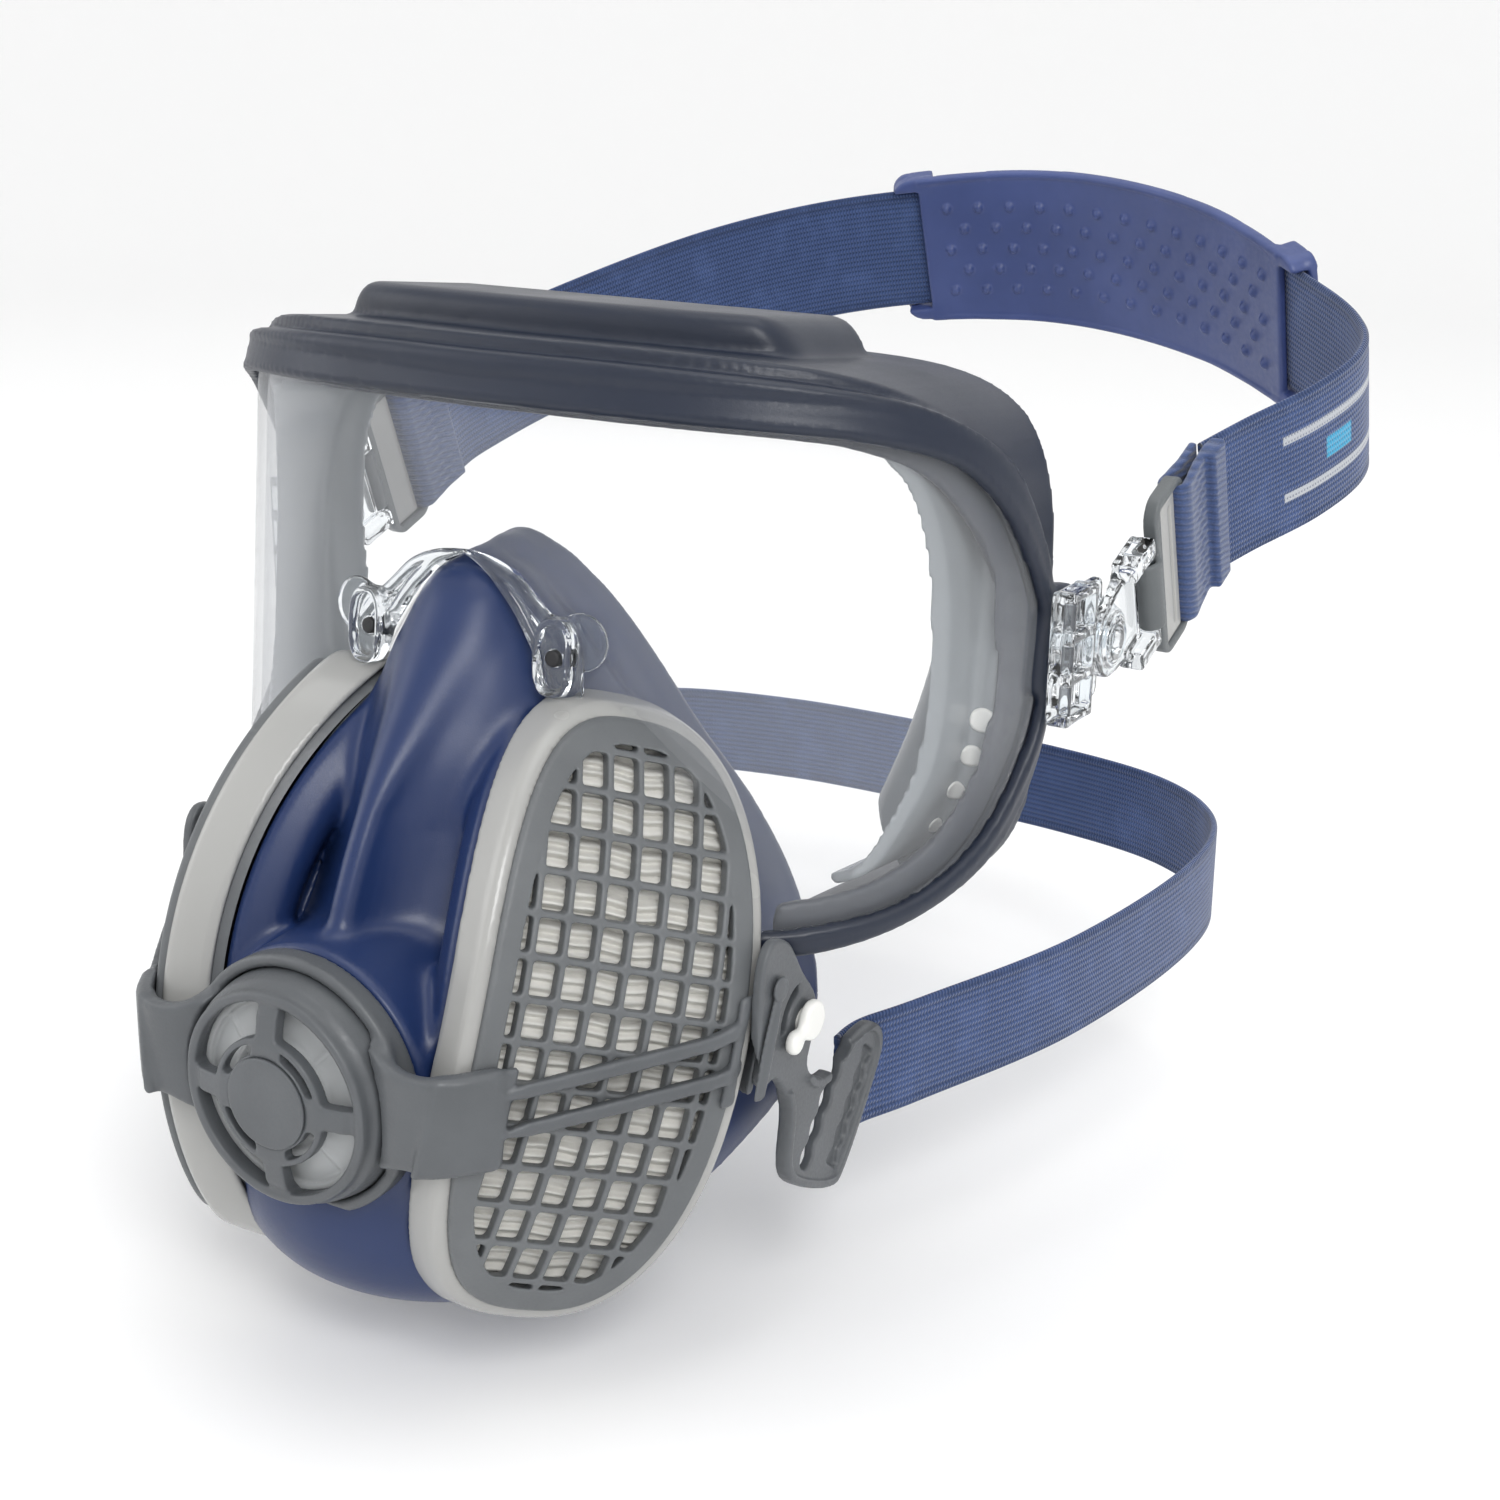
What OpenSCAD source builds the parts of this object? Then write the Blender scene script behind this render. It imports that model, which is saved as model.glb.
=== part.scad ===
// Full face respirator: wrap-round goggle on a half mask with two side filters,
// a front exhale valve, a head strap with a pad, and a neck strap.
// Millimetres. -Y is the front, +X the wearer's left, +Z up.
// The origin is the middle of the opening that the face goes into.

/* [Goggle] */
// Radius of the nearly flat middle of the lens, seen from above
lens_mid_r = 290; // [200:10:400]
// Radius of the lens where it wraps round the temples
lens_side_r = 74; // [70:1:78]
// Half angle of the flat middle
lens_mid_a = 6.8; // [5:0.2:8]
// Thickness of the clear lens
lens_t = 2.2; // [1.6:0.2:3]
// Lean of the goggle, top towards the forehead
goggle_lean = 6.2; // [4:0.2:8]
// Half width of the face opening in the lining
aperture_w = 78; // [72:1:82]

/* [Half mask] */
// Wall of the rubber mask body
wall = 4; // [3:0.5:5]
// Height of the valve axis
valve_z = -55; // [-56:0.5:-54]
// Radius of the rubber collar round the valve
collar_r = 27.5; // [26.5:0.5:29]

/* [Filters] */
// Half width of a filter over its rim
filter_w = 30; // [29:0.5:31]
// Half height of a filter over its rim
filter_h = 63.5; // [61:0.5:65]
// Radius that the filter face is bowed to
filter_r = 105; // [100:1:115]
// Angle of a filter from the front
filter_az = 53; // [51:0.5:55]
// Lean of a filter, top towards the face
filter_lean = 21; // [19:0.5:23]
// Distance between window centres across
mesh_x = 6.6; // [6:0.1:7]
// Distance between window centres up
mesh_z = 8.2; // [7.8:0.1:9]

/* [Valve] */
// Radius of the grey valve cover
cover_r = 24; // [23.5:0.1:24.4]
// Radius of the plain disc in the middle of the cover
badge_r = 9.6; // [9:0.2:10.5]

/* [Straps] */
// Width of the head strap
strap_w = 36; // [32:1:38]
// Width of the neck strap
neck_w = 26; // [22:1:26]
// Thickness of both webbings
web_t = 1.8; // [1.4:0.2:2.2]
// Rise of the head strap behind the clips
strap_rise = 20.5; // [17:0.5:24]

/* [Hidden] */
$fn = 48;
gap = 0.3;
goggle_at = [0, -26, 36.5];
filter_at = [56, -57, -41];
valve_y = -95;
stud_at = [0, 59, 19];
stud_x = 106.3;
frame_t = 4;
clip_t = 2.4;
frame_x = (lens_mid_r - lens_side_r) * sin(lens_mid_a) + lens_side_r;
frame_y = lens_mid_r - (lens_mid_r - lens_side_r) * cos(lens_mid_a);
clip_x = frame_x + frame_t;
rim_depth = 10;
back_depth = 12.2;
port_r = 14.5;
pin_at = [-18, -49];
buckle_l = 18;
clear = [0.86, 0.9, 0.93];
navy = [0.07, 0.1, 0.2];
blue = [0.1, 0.16, 0.36];
web_blue = [0.16, 0.24, 0.45];
grey = [0.32, 0.33, 0.34];
pale = [0.74, 0.75, 0.74];
white = [0.93, 0.93, 0.9];

// curves

function mix(a, b, t) = a * (1 - t) + b * t;

function lookup2(t, rows, i = 0) =
    t <= rows[0][0] ? rows[0][1]
    : i > len(rows) - 2 ? rows[len(rows) - 1][1]
    : t <= rows[i + 1][0]
        ? mix(rows[i][1], rows[i + 1][1], (t - rows[i][0]) / (rows[i + 1][0] - rows[i][0]))
    : lookup2(t, rows, i + 1);

function spline_pt(p0, p1, p2, p3, t) =
    0.5 * (2 * p1 + (p2 - p0) * t + (2 * p0 - 5 * p1 + 4 * p2 - p3) * t * t
        + (3 * p1 - p0 - 3 * p2 + p3) * t * t * t);

function open_curve(p, n) = concat(
    [for (i = [0:len(p) - 2], k = [0:n - 1])
        spline_pt(p[max(i - 1, 0)], p[i], p[i + 1], p[min(i + 2, len(p) - 1)], k / n)],
    [p[len(p) - 1]]);

function closed_curve(p, n) =
    [for (i = [0:len(p) - 1], k = [0:n - 1])
        spline_pt(p[(i + len(p) - 1) % len(p)], p[i], p[(i + 1) % len(p)],
            p[(i + 2) % len(p)], k / n)];

function flip(p) = [for (i = [len(p) - 1:-1:0]) [-p[i][0], p[i][1]]];

function unit2(v) = v / norm(v);

function side_of(p, i) =
    let (d = unit2(p[min(i + 1, len(p) - 1)] - p[max(i - 1, 0)])) [d[1], -d[0]];

function band(p, i0, i1, a, b) = concat(
    [for (i = [i0:i1]) p[i] + a * side_of(p, i)],
    [for (i = [i1:-1:i0]) p[i] + b * side_of(p, i)]);

function oval(w, h, m, n) =
    [for (i = [0:n - 1])
        let (a = 360 * i / n, c = cos(a), s = sin(a))
        [w * sign(c) * pow(abs(c), 2 / m), h * sign(s) * pow(abs(s), 2 / m)]];

// the lens seen from above: a flat middle, tight sides and a straight run back
function lens_plan(a, off) =
    abs(a) <= lens_mid_a
        ? [(lens_mid_r + off) * sin(a), lens_mid_r - (lens_mid_r + off) * cos(a)]
        : [sign(a) * (lens_mid_r - lens_side_r) * sin(lens_mid_a)
                + (lens_side_r + off) * sin(a),
            frame_y - (lens_side_r + off) * cos(a)];

function lens_edge(off, back) = concat(
    [[-(frame_x + off), back]],
    [for (a = [-90:6:90]) lens_plan(a, off)],
    [[frame_x + off, back]]);

function lens_y(x, off) =
    let (mid = lens_mid_r * sin(lens_mid_a), c = (lens_mid_r - lens_side_r) * sin(lens_mid_a))
    abs(x) <= mid
        ? lens_mid_r - sqrt(pow(lens_mid_r + off, 2) - x * x)
        : frame_y - sqrt(max(0, pow(lens_side_r + off, 2) - pow(abs(x) - c, 2)));

// outlines of the goggle seen from the front, right half from the top down
frame_half = [[0, 46], [40, 46], [77, 45], [91, 41], [99, 32], [103, 16], [105, -10],
    [104, -33], [100, -51], [91, -64], [77, -71], [67, -71]];
lens_half = [[0, 36], [40, 36], [76, 35], [88, 31], [94.5, 22], [98, 9], [99.5, -10],
    [98.5, -32], [94, -48], [87, -59], [75, -65], [63, -66]];
hole_half = [[0, 33], [40, 33], [75, 32], [86, 28], [92, 20], [95.5, 8], [97, -10],
    [96, -31], [92, -46], [85, -56], [75, -62], [67, -62]];
skirt_half = [[0, 48], [40, 48], [72, 47], [88, 43], [97, 34], [101, 16], [102, -10],
    [101, -33], [97, -50], [89, -62], [77, -68], [69, -68]];
skirt_in_half = [[0, 43], [40, 43], [70, 42], [84, 38.5], [90, 31], [93.5, 15], [94, -10],
    [93.5, -32], [90, -47], [85, -58], [76, -63], [69, -63]];
lining_half = [[0, 42.7], [40, 42.7], [70, 41.7], [83.7, 38], [89.6, 30.8], [93.1, 15],
    [93.7, -10], [93.1, -32], [89.7, -46.8], [84.6, -57.7], [76, -62.7], [69, -62.7]];
aperture_half = [[0, 31], [40, 31], [70, 30], [77, 22], [79, 8], [78, -10], [74, -28],
    [68, -45], [62, -60], [56, -74]];

function half_outline(h, n = 5) = let (c = open_curve(h, n)) concat(c, flip(c));

// the mask body, level by level: height, half width, front, rear
body_rows = [[-114, 14, -58, -48], [-110, 30, -70, -44], [-104, 42, -79, -38],
    [-96, 52, -84, -28], [-86, 60, -86, -14], [-74, 65, -84, 4], [-60, 66, -82, 11],
    [-46, 64, -79, 12], [-30, 58, -74, 12], [-15, 49, -67, 11], [0, 37, -58, 9],
    [12, 29, -49, 7], [22, 23, -42, 4], [30, 17.5, -36, 1], [36, 12, -31, -2],
    [41, 8, -25, -5]];

function body_row(z) = [for (k = [1:3]) lookup2(z, [for (r = body_rows) [r[0], r[k]]])];

function body_xy(z, a, inset) =
    let (r = body_row(z), w = r[0] - inset, f = r[1] + inset, b = r[2],
        valley = 7 * max(0, 1 - pow((z + 2) / 34, 2)),
        x = w * sin(a), y = b - (b - f) * cos(a),
        dip = valley * exp(-pow((abs(x) - 0.5 * w) / (0.2 * w), 2)) * cos(a))
    [x, y + dip];

// keep a point behind the seat of each filter
filter_n = [sin(filter_az), -cos(filter_az) * cos(filter_lean),
    cos(filter_az) * sin(filter_lean)];
filter_u = [0, sin(filter_lean), cos(filter_lean)];

function seat(p, r) =
    let (q = [abs(p[0]), p[1], p[2]], c = filter_at - filter_r * filter_n, d = q - c,
        dn = d * filter_n, du = d * filter_u, e = norm([dn, du]),
        k = min(0, r / e - 1), m = q + k * (dn * filter_n + du * filter_u))
    [sign(p[0]) * m[0], m[1], m[2]];

function body_pt(z, a, inset) =
    let (q = body_xy(z, a, inset)) seat([q[0], q[1], z], filter_r - back_depth - gap - inset);

// half width of the mask body where the lens crosses it
function arch_x(z, x = 20, n = 16) =
    n == 0 ? x
    : let (lz = z * cos(goggle_lean) + goggle_at[2],
        ly = goggle_at[1] + lens_y(x, 0) + z * sin(goggle_lean),
        r = body_row(lz), t = (r[2] - ly) / (r[2] - r[1]))
    arch_x(z, mix(x, r[0] * sqrt(max(0, 1 - t * t)), 0.6), n - 1);

arch_top = 2.5;

function arch_w(z) = max(arch_x(z), 5.2 * sqrt(arch_top - z));

function arch_half(grow) = concat(
    [[0, arch_top + grow]],
    [for (z = [1.5, 0, -2, -5, -9, each [-13:-3:-76]])
        [arch_w(z) + grow, z]]);

// the head strap and the neck strap seen from above
strap_run = open_curve([[-110.3, 54.5], [-109, 68], [-97, 100], [-68, 144], [-30, 172],
    [20, 184], [70, 170], [112, 137], [128, 119], [132, 104], [127, 86], [117, 68],
    [110.3, 54.5]], 6);
pad_first = 23;
pad_last = 44;
neck_run = open_curve([[-78.3, 0], [-83, 24], [-98, 76], [-107, 130], [-102, 164], [-80, 185],
    [-42, 194], [0, 195], [42, 194], [80, 185], [102, 164], [107, 130], [98, 76], [83, 24],
    [78.3, 0]], 5);

// frames of reference

module both() {
    children();
    mirror([1, 0, 0]) children();
}

module goggle() translate(goggle_at) rotate([-goggle_lean, 0, 0]) children();

module filter_place(side) {
    mirror([side > 0 ? 0 : 1, 0, 0])
        translate(filter_at)
            rotate([-filter_lean, 0, 0])
                rotate([0, 0, filter_az]) children();
}

module harness() translate(stud_at) rotate([strap_rise, 0, 0]) children();

// extrude an outline drawn in X and Z along Y
module front_prism(y0, y1) {
    translate([0, y1, 0]) rotate([90, 0, 0]) linear_extrude(y1 - y0) children();
}

// lens shell from one offset to another, cut to an outline
module shell(a, b, back, z0, z1) {
    translate([0, 0, z0])
        linear_extrude(z1 - z0) polygon(concat(lens_edge(b, back),
            [for (i = [len(lens_edge(a, back)) - 1:-1:0]) lens_edge(a, back)[i]]));
}

// a curved slab of a filter between two depths behind its face
module bowed(d0, d1) {
    translate([0, filter_r, 0]) rotate([0, 90, 0]) difference() {
        cylinder(r = filter_r - d0, h = 90, center = true, $fn = 180);
        cylinder(r = filter_r - d1, h = 91, center = true, $fn = 180);
    }
}

// the room that both filters take up, seen from inside the goggle's own frame
module filters_out() {
    rotate([goggle_lean, 0, 0]) translate(-goggle_at)
        for (s = [-1, 1]) filter_place(s) filter_room(0.6);
}

module filter_slab(w, h, d0, d1) {
    intersection() {
        bowed(d0, d1);
        front_prism(-5, 60) polygon(oval(w, h, 2.7, 72));
    }
}

// goggle

module lens() {
    color(clear) goggle() difference() {
        intersection() {
            shell(-lens_t / 2, lens_t / 2, 76, -72, 40);
            front_prism(-20, 70) polygon(half_outline(lens_half));
        }
        front_prism(-20, 90) polygon(half_outline(arch_half(0.8), 2));
        front_prism(-20, 90) polygon([[-42, -37.5], [42, -37.5], [60, -68], [-60, -68]]);
        filters_out();
    }
}

module goggle_frame() {
    face = lens_t / 2 + 0.1;
    color(navy) goggle() difference() {
        intersection() {
            union() {
                shell(face, frame_t, 82, -74, 48);
                difference() {
                    intersection() {
                        shell(-6, face, 80, -74, 48);
                        translate([-120, -30, -80]) cube([240, 90, 140]);
                    }
                    intersection() {
                        shell(-lens_t / 2 - 0.1, face + 1, 80, -70, 40);
                        front_prism(-20, 62) polygon(half_outline([for (p = lens_half)
                            p * 1.003]));
                    }
                }
            }
            front_prism(-20, 90) polygon(half_outline(frame_half));
        }
        front_prism(-20, 90) polygon(half_outline(hole_half));
        translate([-67, -20, -80]) cube([134, 120, 80]);
        filters_out();
    }
}

module goggle_skirt() {
    color(navy) goggle() difference() {
        union() {
            intersection() {
                front_prism(-20, 80) difference() {
                    polygon(half_outline(skirt_half));
                    polygon(half_outline(skirt_in_half));
                }
                translate([0, 0, -80]) linear_extrude(140) polygon(lens_edge(-6.1, 80));
            }
            intersection() {
                front_prism(62.6, 80) difference() {
                    polygon(half_outline(skirt_half));
                    polygon(half_outline(skirt_in_half));
                }
                translate([-96.9, 0, -80]) cube([193.8, 120, 150]);
            }
            forehead_step();
        }
        translate([-69, -20, -80]) cube([138, 120, 70]);
    }
}

module forehead_step() {
    intersection() {
        translate([0, 0, 42]) linear_extrude(14) polygon(concat(
            [for (x = [-66:6:66]) [x, 20 + lens_y(x, 0) - pow(x / 66, 6) * 4]],
            [[66, 62], [-66, 62]]));
        rotate([90, 0, 90]) translate([0, 0, -70]) linear_extrude(140) polygon([
            [16, 44], [19, 50], [25, 54], [33, 56], [62, 56], [62, 52], [33, 52],
            [26, 50], [24, 44]]);
    }
}

module seal_lining() {
    color([0.6, 0.63, 0.64]) goggle() difference() {
        front_prism(60.05, 62.5) polygon(half_outline(lining_half));
        front_prism(50, 70) polygon(half_outline([for (p = aperture_half)
            [p[0] * aperture_w / 78, p[1]]]));
        translate([-69, 40, -90]) cube([138, 40, 40]);
    }
}

module lining_dots() {
    spots = [[90, -25, 2.7], [89, -34, 2.4], [86.5, -42, 2.1], [83, -50, 1.8]];
    color(white) goggle() both() for (s = spots)
        translate([s[0], 59.95, s[1]]) rotate([90, 0, 0]) cylinder(r = s[2], h = 0.35);
}

module nose_clamp() {
    rows = [1.5, 0, -2, -5, -9, -14, -20, -26];
    inner = concat([[0, arch_top + 0.6]], [for (z = rows) [arch_w(z) + 0.6, z]]);
    outer = concat([[0, arch_top + 6]], [for (z = rows) [arch_w(z) + 5.5, z + 2.5]]);
    color(clear) goggle() difference() {
        union() {
            intersection() {
                shell(lens_t / 2 + 0.1, lens_t / 2 + 3, 60, -40, 20);
                front_prism(-20, 60) difference() {
                    polygon(half_outline(outer, 3));
                    polygon(half_outline(inner, 3));
                    translate([-60, -60]) square([120, 36]);
                }
            }
            both() translate([clamp_x, lens_y(clamp_x, 0) - 2.4, -15])
                rotate([90, 0, 0]) cylinder(r = 6.5, h = 3);
        }
        both() translate([clamp_x, 20, -15]) rotate([90, 0, 0]) cylinder(r = 1.7, h = 40);
        front_prism(-20, 60) polygon(half_outline(arch_half(0.5), 2));
        filters_out();
    }
}

clamp_x = arch_w(-15) + 5;

module nose_pins() {
    color(grey) goggle() both() translate([clamp_x, lens_y(clamp_x, 0) - 1.3, -15])
        rotate([90, 0, 0]) cylinder(r = 1.65, h = 5);
}

// strap clips

module clip_base() {
    difference() {
        union() {
            translate([clip_x, 36, stud_at[2] - 14]) cube([clip_t, 24, 28]);
            for (k = [-1:1]) translate([clip_x, 36, stud_at[2] + 11.5 * k - 1.2])
                cube([5.6, 13, 2.4]);
            translate([clip_x, stud_at[1], stud_at[2]]) rotate([0, 90, 0])
                cylinder(r = 8, h = clip_t);
        }
        translate([100, stud_at[1], stud_at[2]]) rotate([0, 90, 0]) cylinder(r = 3.05, h = 12);
    }
}

module pivot_stud() {
    translate([clip_x - 0.8, stud_at[1], stud_at[2]]) rotate([0, 90, 0]) {
        cylinder(r = 3, h = 7);
        translate([0, 0, 6.85]) cylinder(r = 4.6, h = 1.6);
        cylinder(r = 4.4, h = 0.8);
    }
}

module clip_link() {
    harness() difference() {
        union() {
            translate([stud_x, 0, 0]) rotate([0, 90, 0]) cylinder(r = 8.5, h = 3);
            translate([stud_x, 0, -8.5]) cube([3, 17, 17]);
            for (s = [-1, 1]) translate([stud_x, 9, s * 11.5 - 2.5]) cube([6, 11.7, 5]);
            translate([stud_x, 9, -12]) cube([3, 4, 24]);
            translate([stud_x + 4, 19, -13]) cylinder(r = 1.8, h = 26);
        }
        translate([stud_x - 2, 0, 0]) rotate([0, 90, 0]) cylinder(r = 3.05, h = 10);
        translate([stud_x - 1, 14.6, -8.8]) cube([8, 9, 17.6]);
    }
    harness() translate([stud_x + 4, 19, -13]) cylinder(r = 1.8, h = 26);
}

module buckle() {
    harness() translate([stud_x + 4, 19, 0]) difference() {
        union() {
            translate([-1.5, 2.5, -20.5]) cube([3, buckle_l, 41]);
            translate([0, 0, -8.5]) cylinder(r = 3.4, h = 17);
            translate([-1.5, 0, -8.5]) cube([3, 4, 17]);
        }
        translate([0, 0, -30]) cylinder(r = 1.86, h = 60);
        translate([-3, 5.5, -18.3]) cube([6, buckle_l - 6.5, 36.6]);
    }
}

module strap_end() {
    y = 19 + buckle_l - 3.4;
    harness() translate([stud_x + 4, 0, -strap_w / 2]) linear_extrude(strap_w) difference() {
        translate([-3.6, y]) square([7.2, 18]);
        translate([-1.8, y + 1.9]) square([3.6, 4]);
    }
}

// straps and pad

module upper_strap() {
    n = len(strap_run) - 1;
    color(web_blue) harness() translate([0, 0, -strap_w / 2])
        linear_extrude(strap_w) polygon(band(strap_run, 0, n, -web_t / 2, web_t / 2));
}

module head_pad() {
    h = strap_w + 8;
    run = strap_run;
    color([0.2, 0.22, 0.45]) harness() {
        translate([0, 0, -h / 2]) linear_extrude(h)
            polygon(band(run, pad_first, pad_last, web_t / 2 + 0.3, web_t / 2 + 2.8));
        for (i = [pad_first, pad_last - 1]) translate([0, 0, -h / 2]) linear_extrude(h)
            polygon(band(run, i, i + 1, -web_t / 2 - 0.3, -web_t / 2 - 2.8));
        for (i = [pad_first, pad_last - 1], s = [-1, 1])
            translate([0, 0, s * (h / 2 - 1.9) - 1.8]) linear_extrude(3.6)
                polygon(band(run, i, i + 1, web_t / 2 + 2.8, -web_t / 2 - 2.8));
        for (i = [pad_first + 3:2:pad_last - 3], k = [-2:2])
            let (j = i + abs(k) % 2, p = run[j] + (web_t / 2 + 2.7) * side_of(run, j))
            translate([p[0], p[1], k * 6.5]) sphere(r = 1.3, $fn = 24);
    }
}

module lower_strap() {
    n = len(neck_run) - 1;
    color(web_blue) translate([0, 0, -76]) rotate([2.5, 0, 0]) translate([0, 0, -neck_w / 2])
        linear_extrude(neck_w) polygon(band(neck_run, 0, n, -web_t / 2, web_t / 2));
}

// half mask

module body_loft(inset_out, inset_in) {
    zs = [for (r = body_rows) r[0]];
    angs = [for (i = [-14:14]) 90 * i / 14];
    m = len(angs);
    n = len(zs);
    ring = 2 * m;
    pts = [for (z = zs) each concat(
        [for (a = angs) body_pt(z, a, inset_out)],
        [for (i = [m - 1:-1:0]) body_pt(z, angs[i], inset_in)])];
    quads = [for (j = [0:n - 2], i = [0:ring - 1])
        let (k = (i + 1) % ring)
        each [[j * ring + i, j * ring + k, (j + 1) * ring + k],
            [j * ring + i, (j + 1) * ring + k, (j + 1) * ring + i]]];
    caps = [for (i = [0:m - 2], e = [0, 1])
        let (b = e * (n - 1) * ring, p = b + i, q = b + i + 1, r = b + ring - 2 - i,
            s = b + ring - 1 - i)
        each e == 0 ? [[p, r, q], [p, s, r]] : [[p, q, r], [p, r, s]]];
    polyhedron(points = pts, faces = concat([for (f = quads) [f[0], f[2], f[1]]],
        [for (f = caps) [f[0], f[2], f[1]]]));
}

module ports(r, d0, d1) {
    for (s = [-1, 1]) filter_place(s) translate([0, d0, 0]) rotate([-90, 0, 0])
        cylinder(r = r, h = d1 - d0);
}

module valve_bore(r, y0, y1) {
    translate([0, y0, valve_z]) rotate([-90, 0, 0]) cylinder(r = r, h = y1 - y0);
}

module facepiece() {
    color(blue) difference() {
        union() {
            body_loft(0, wall);
            valve_bore(collar_r, -80.3, -72);
            ports(port_r + 3.5, back_depth + gap + 0.2, back_depth + 9);
        }
        valve_bore(21, -90, -60);
        valve_bore(27.3, -100, -80.35);
        ports(port_r, 0, 40);
        for (s = [-1, 1]) filter_place(s) filter_room();
    }
}

module face_seal_lip() {
    rows = [for (i = [1:len(body_rows) - 2]) body_rows[i]];
    side = [for (r = rows) [r[1], r[3], r[0]]];
    loop = concat(side, [for (i = [len(side) - 1:-1:0]) [-side[i][0], side[i][1], side[i][2]]]);
    n = len(loop);
    mid = [0, 30, -34];
    pts = [for (p = loop) let (d = (mid - p) / norm(mid - p)) each [
        p + [0, 1.8, 0], p + [0, 3.6, 0], p + d * 13 + [0, 2, 0], p + d * 13 + [0, 0.8, 0]]];
    faces = [for (i = [0:n - 1], k = [0:3])
        let (j = (i + 1) % n, l = (k + 1) % 4)
        each [[4 * i + k, 4 * j + k, 4 * j + l], [4 * i + k, 4 * j + l, 4 * i + l]]];
    color([0.12, 0.19, 0.4]) polyhedron(points = pts, faces = faces);
}

// filters

module filter_rim(side) {
    color(pale) filter_place(side) difference() {
        union() {
            filter_slab(filter_w, filter_h, 4, rim_depth);
            filter_slab(filter_w - 1.6, filter_h - 1.6, 0.5, 4.01);
        }
        filter_slab(filter_w - 3.6, filter_h - 3.6, -1, rim_depth + 1);
    }
}

module filter_grille(side) {
    w = filter_w - 3.7;
    h = filter_h - 3.7;
    cols = [-2.5:2.5];
    rows = [-6:6];
    color(grey) filter_place(side) difference() {
        filter_slab(w, h, -1.2, 1.8);
        front_prism(-10, 30) intersection() {
            polygon(oval(w - 4.4, h - 5, 2.5, 60));
            for (i = cols, j = rows) translate([i * mesh_x - 2.5, j * mesh_z - 3.2])
                square([5, 6.4]);
        }
    }
}

module filter_media(side) {
    color(white) filter_place(side)
        filter_slab(filter_w - 3.8, filter_h - 3.8, 1.9, rim_depth - 0.2);
}

module filter_back(side) {
    color(grey) filter_place(side) difference() {
        union() {
            filter_slab(filter_w - 0.5, filter_h - 0.5, rim_depth + 0.05, back_depth);
            translate([0, rim_depth + 1, 0]) rotate([-90, 0, 0])
                cylinder(r = port_r - 0.05, h = 11);
        }
        translate([0, 5, 0]) rotate([-90, 0, 0]) cylinder(r = port_r - 2, h = 40);
    }
}

module filter_gasket(side) {
    color([0.1, 0.1, 0.11]) filter_place(side) translate([0, back_depth + 9.05, 0])
        rotate([-90, 0, 0]) difference() {
            cylinder(r = port_r + 2.2, h = 0.9);
            translate([0, 0, -1]) cylinder(r = port_r, h = 3);
        }
}

module port_ring(side) {
    y = back_depth + 10;
    color(grey) filter_place(side) translate([0, y, 0]) rotate([-90, 0, 0]) {
        difference() {
            cylinder(r = port_r + 3, h = 2);
            translate([0, 0, -1]) cylinder(r = port_r - 3, h = 4);
        }
        for (a = [0, 60, 120]) rotate([0, 0, a])
            translate([-port_r + 2.5, -0.8, 0.2]) cube([2 * port_r - 5, 1.6, 1.6]);
        cylinder(r = 2.4, h = 2);
    }
}

module inhale_flap(side) {
    y = back_depth + 12.1;
    color([0.85, 0.86, 0.84]) filter_place(side) translate([0, y, 0])
        rotate([-90, 0, 0]) cylinder(r = port_r - 1, h = 0.8);
}

// exhale valve

module exhale_seat() {
    color(grey) {
        difference() {
            valve_bore(20.9, -78, -74);
            valve_bore(15.5, -80, -70);
        }
        for (a = [0, 60, 120]) translate([0, -78, valve_z]) rotate([0, a, 0])
            translate([-16, 0.4, -0.8]) cube([32, 1.8, 1.6]);
        valve_bore(2.6, -78, -75);
    }
}

module exhale_flap() {
    color([0.88, 0.88, 0.86]) valve_bore(17.5, -79, -78.1);
}

module exhale_housing() {
    color(clear) difference() {
        valve_bore(20.9, -88.3, -78.05);
        valve_bore(18.6, -95, -70);
        for (a = [30:60:150]) translate([0, -84.5, valve_z]) rotate([0, a, 0])
            translate([-30, -3, -4]) cube([60, 6, 8]);
    }
}

module valve_cover() {
    color(grey) translate([0, valve_y, valve_z]) rotate([-90, 0, 0]) difference() {
        rotate_extrude() polygon([[0, 0.6], [cover_r / 2, 0.8], [cover_r - 5, 2.2],
            [cover_r - 1.4, 4.6], [cover_r, 8], [24.6, 14.5], [21.1, 14.5], [21.1, 6.6],
            [18, 4.8], [12, 3.4], [0, 3]]);
        for (q = [0:3]) rotate([0, 0, 90 * q + 4]) {
            translate([0, 0, -5]) sector(13.4, 20.6, 78, 20);
            translate([0, 0, -5]) sector(10.2, 12, 50, 20);
        }
        translate([0, 0, -4]) cylinder(r = badge_r, h = 5);
    }
}

// a ring sector from angle 0
module sector(r0, r1, a, h) {
    rotate_extrude(angle = a) translate([r0, 0]) square([r1 - r0, h]);
}

module cover_badge() {
    color([0.26, 0.27, 0.28]) translate([0, valve_y, valve_z]) rotate([-90, 0, 0])
        cylinder(r = badge_r - 0.05, h = 0.98);
}

// yoke

module filter_room(more = 0) {
    filter_slab(filter_w + 0.2 + more, filter_h + 0.2 + more, -1.4 - more,
        back_depth + 0.2 + more);
}

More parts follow.
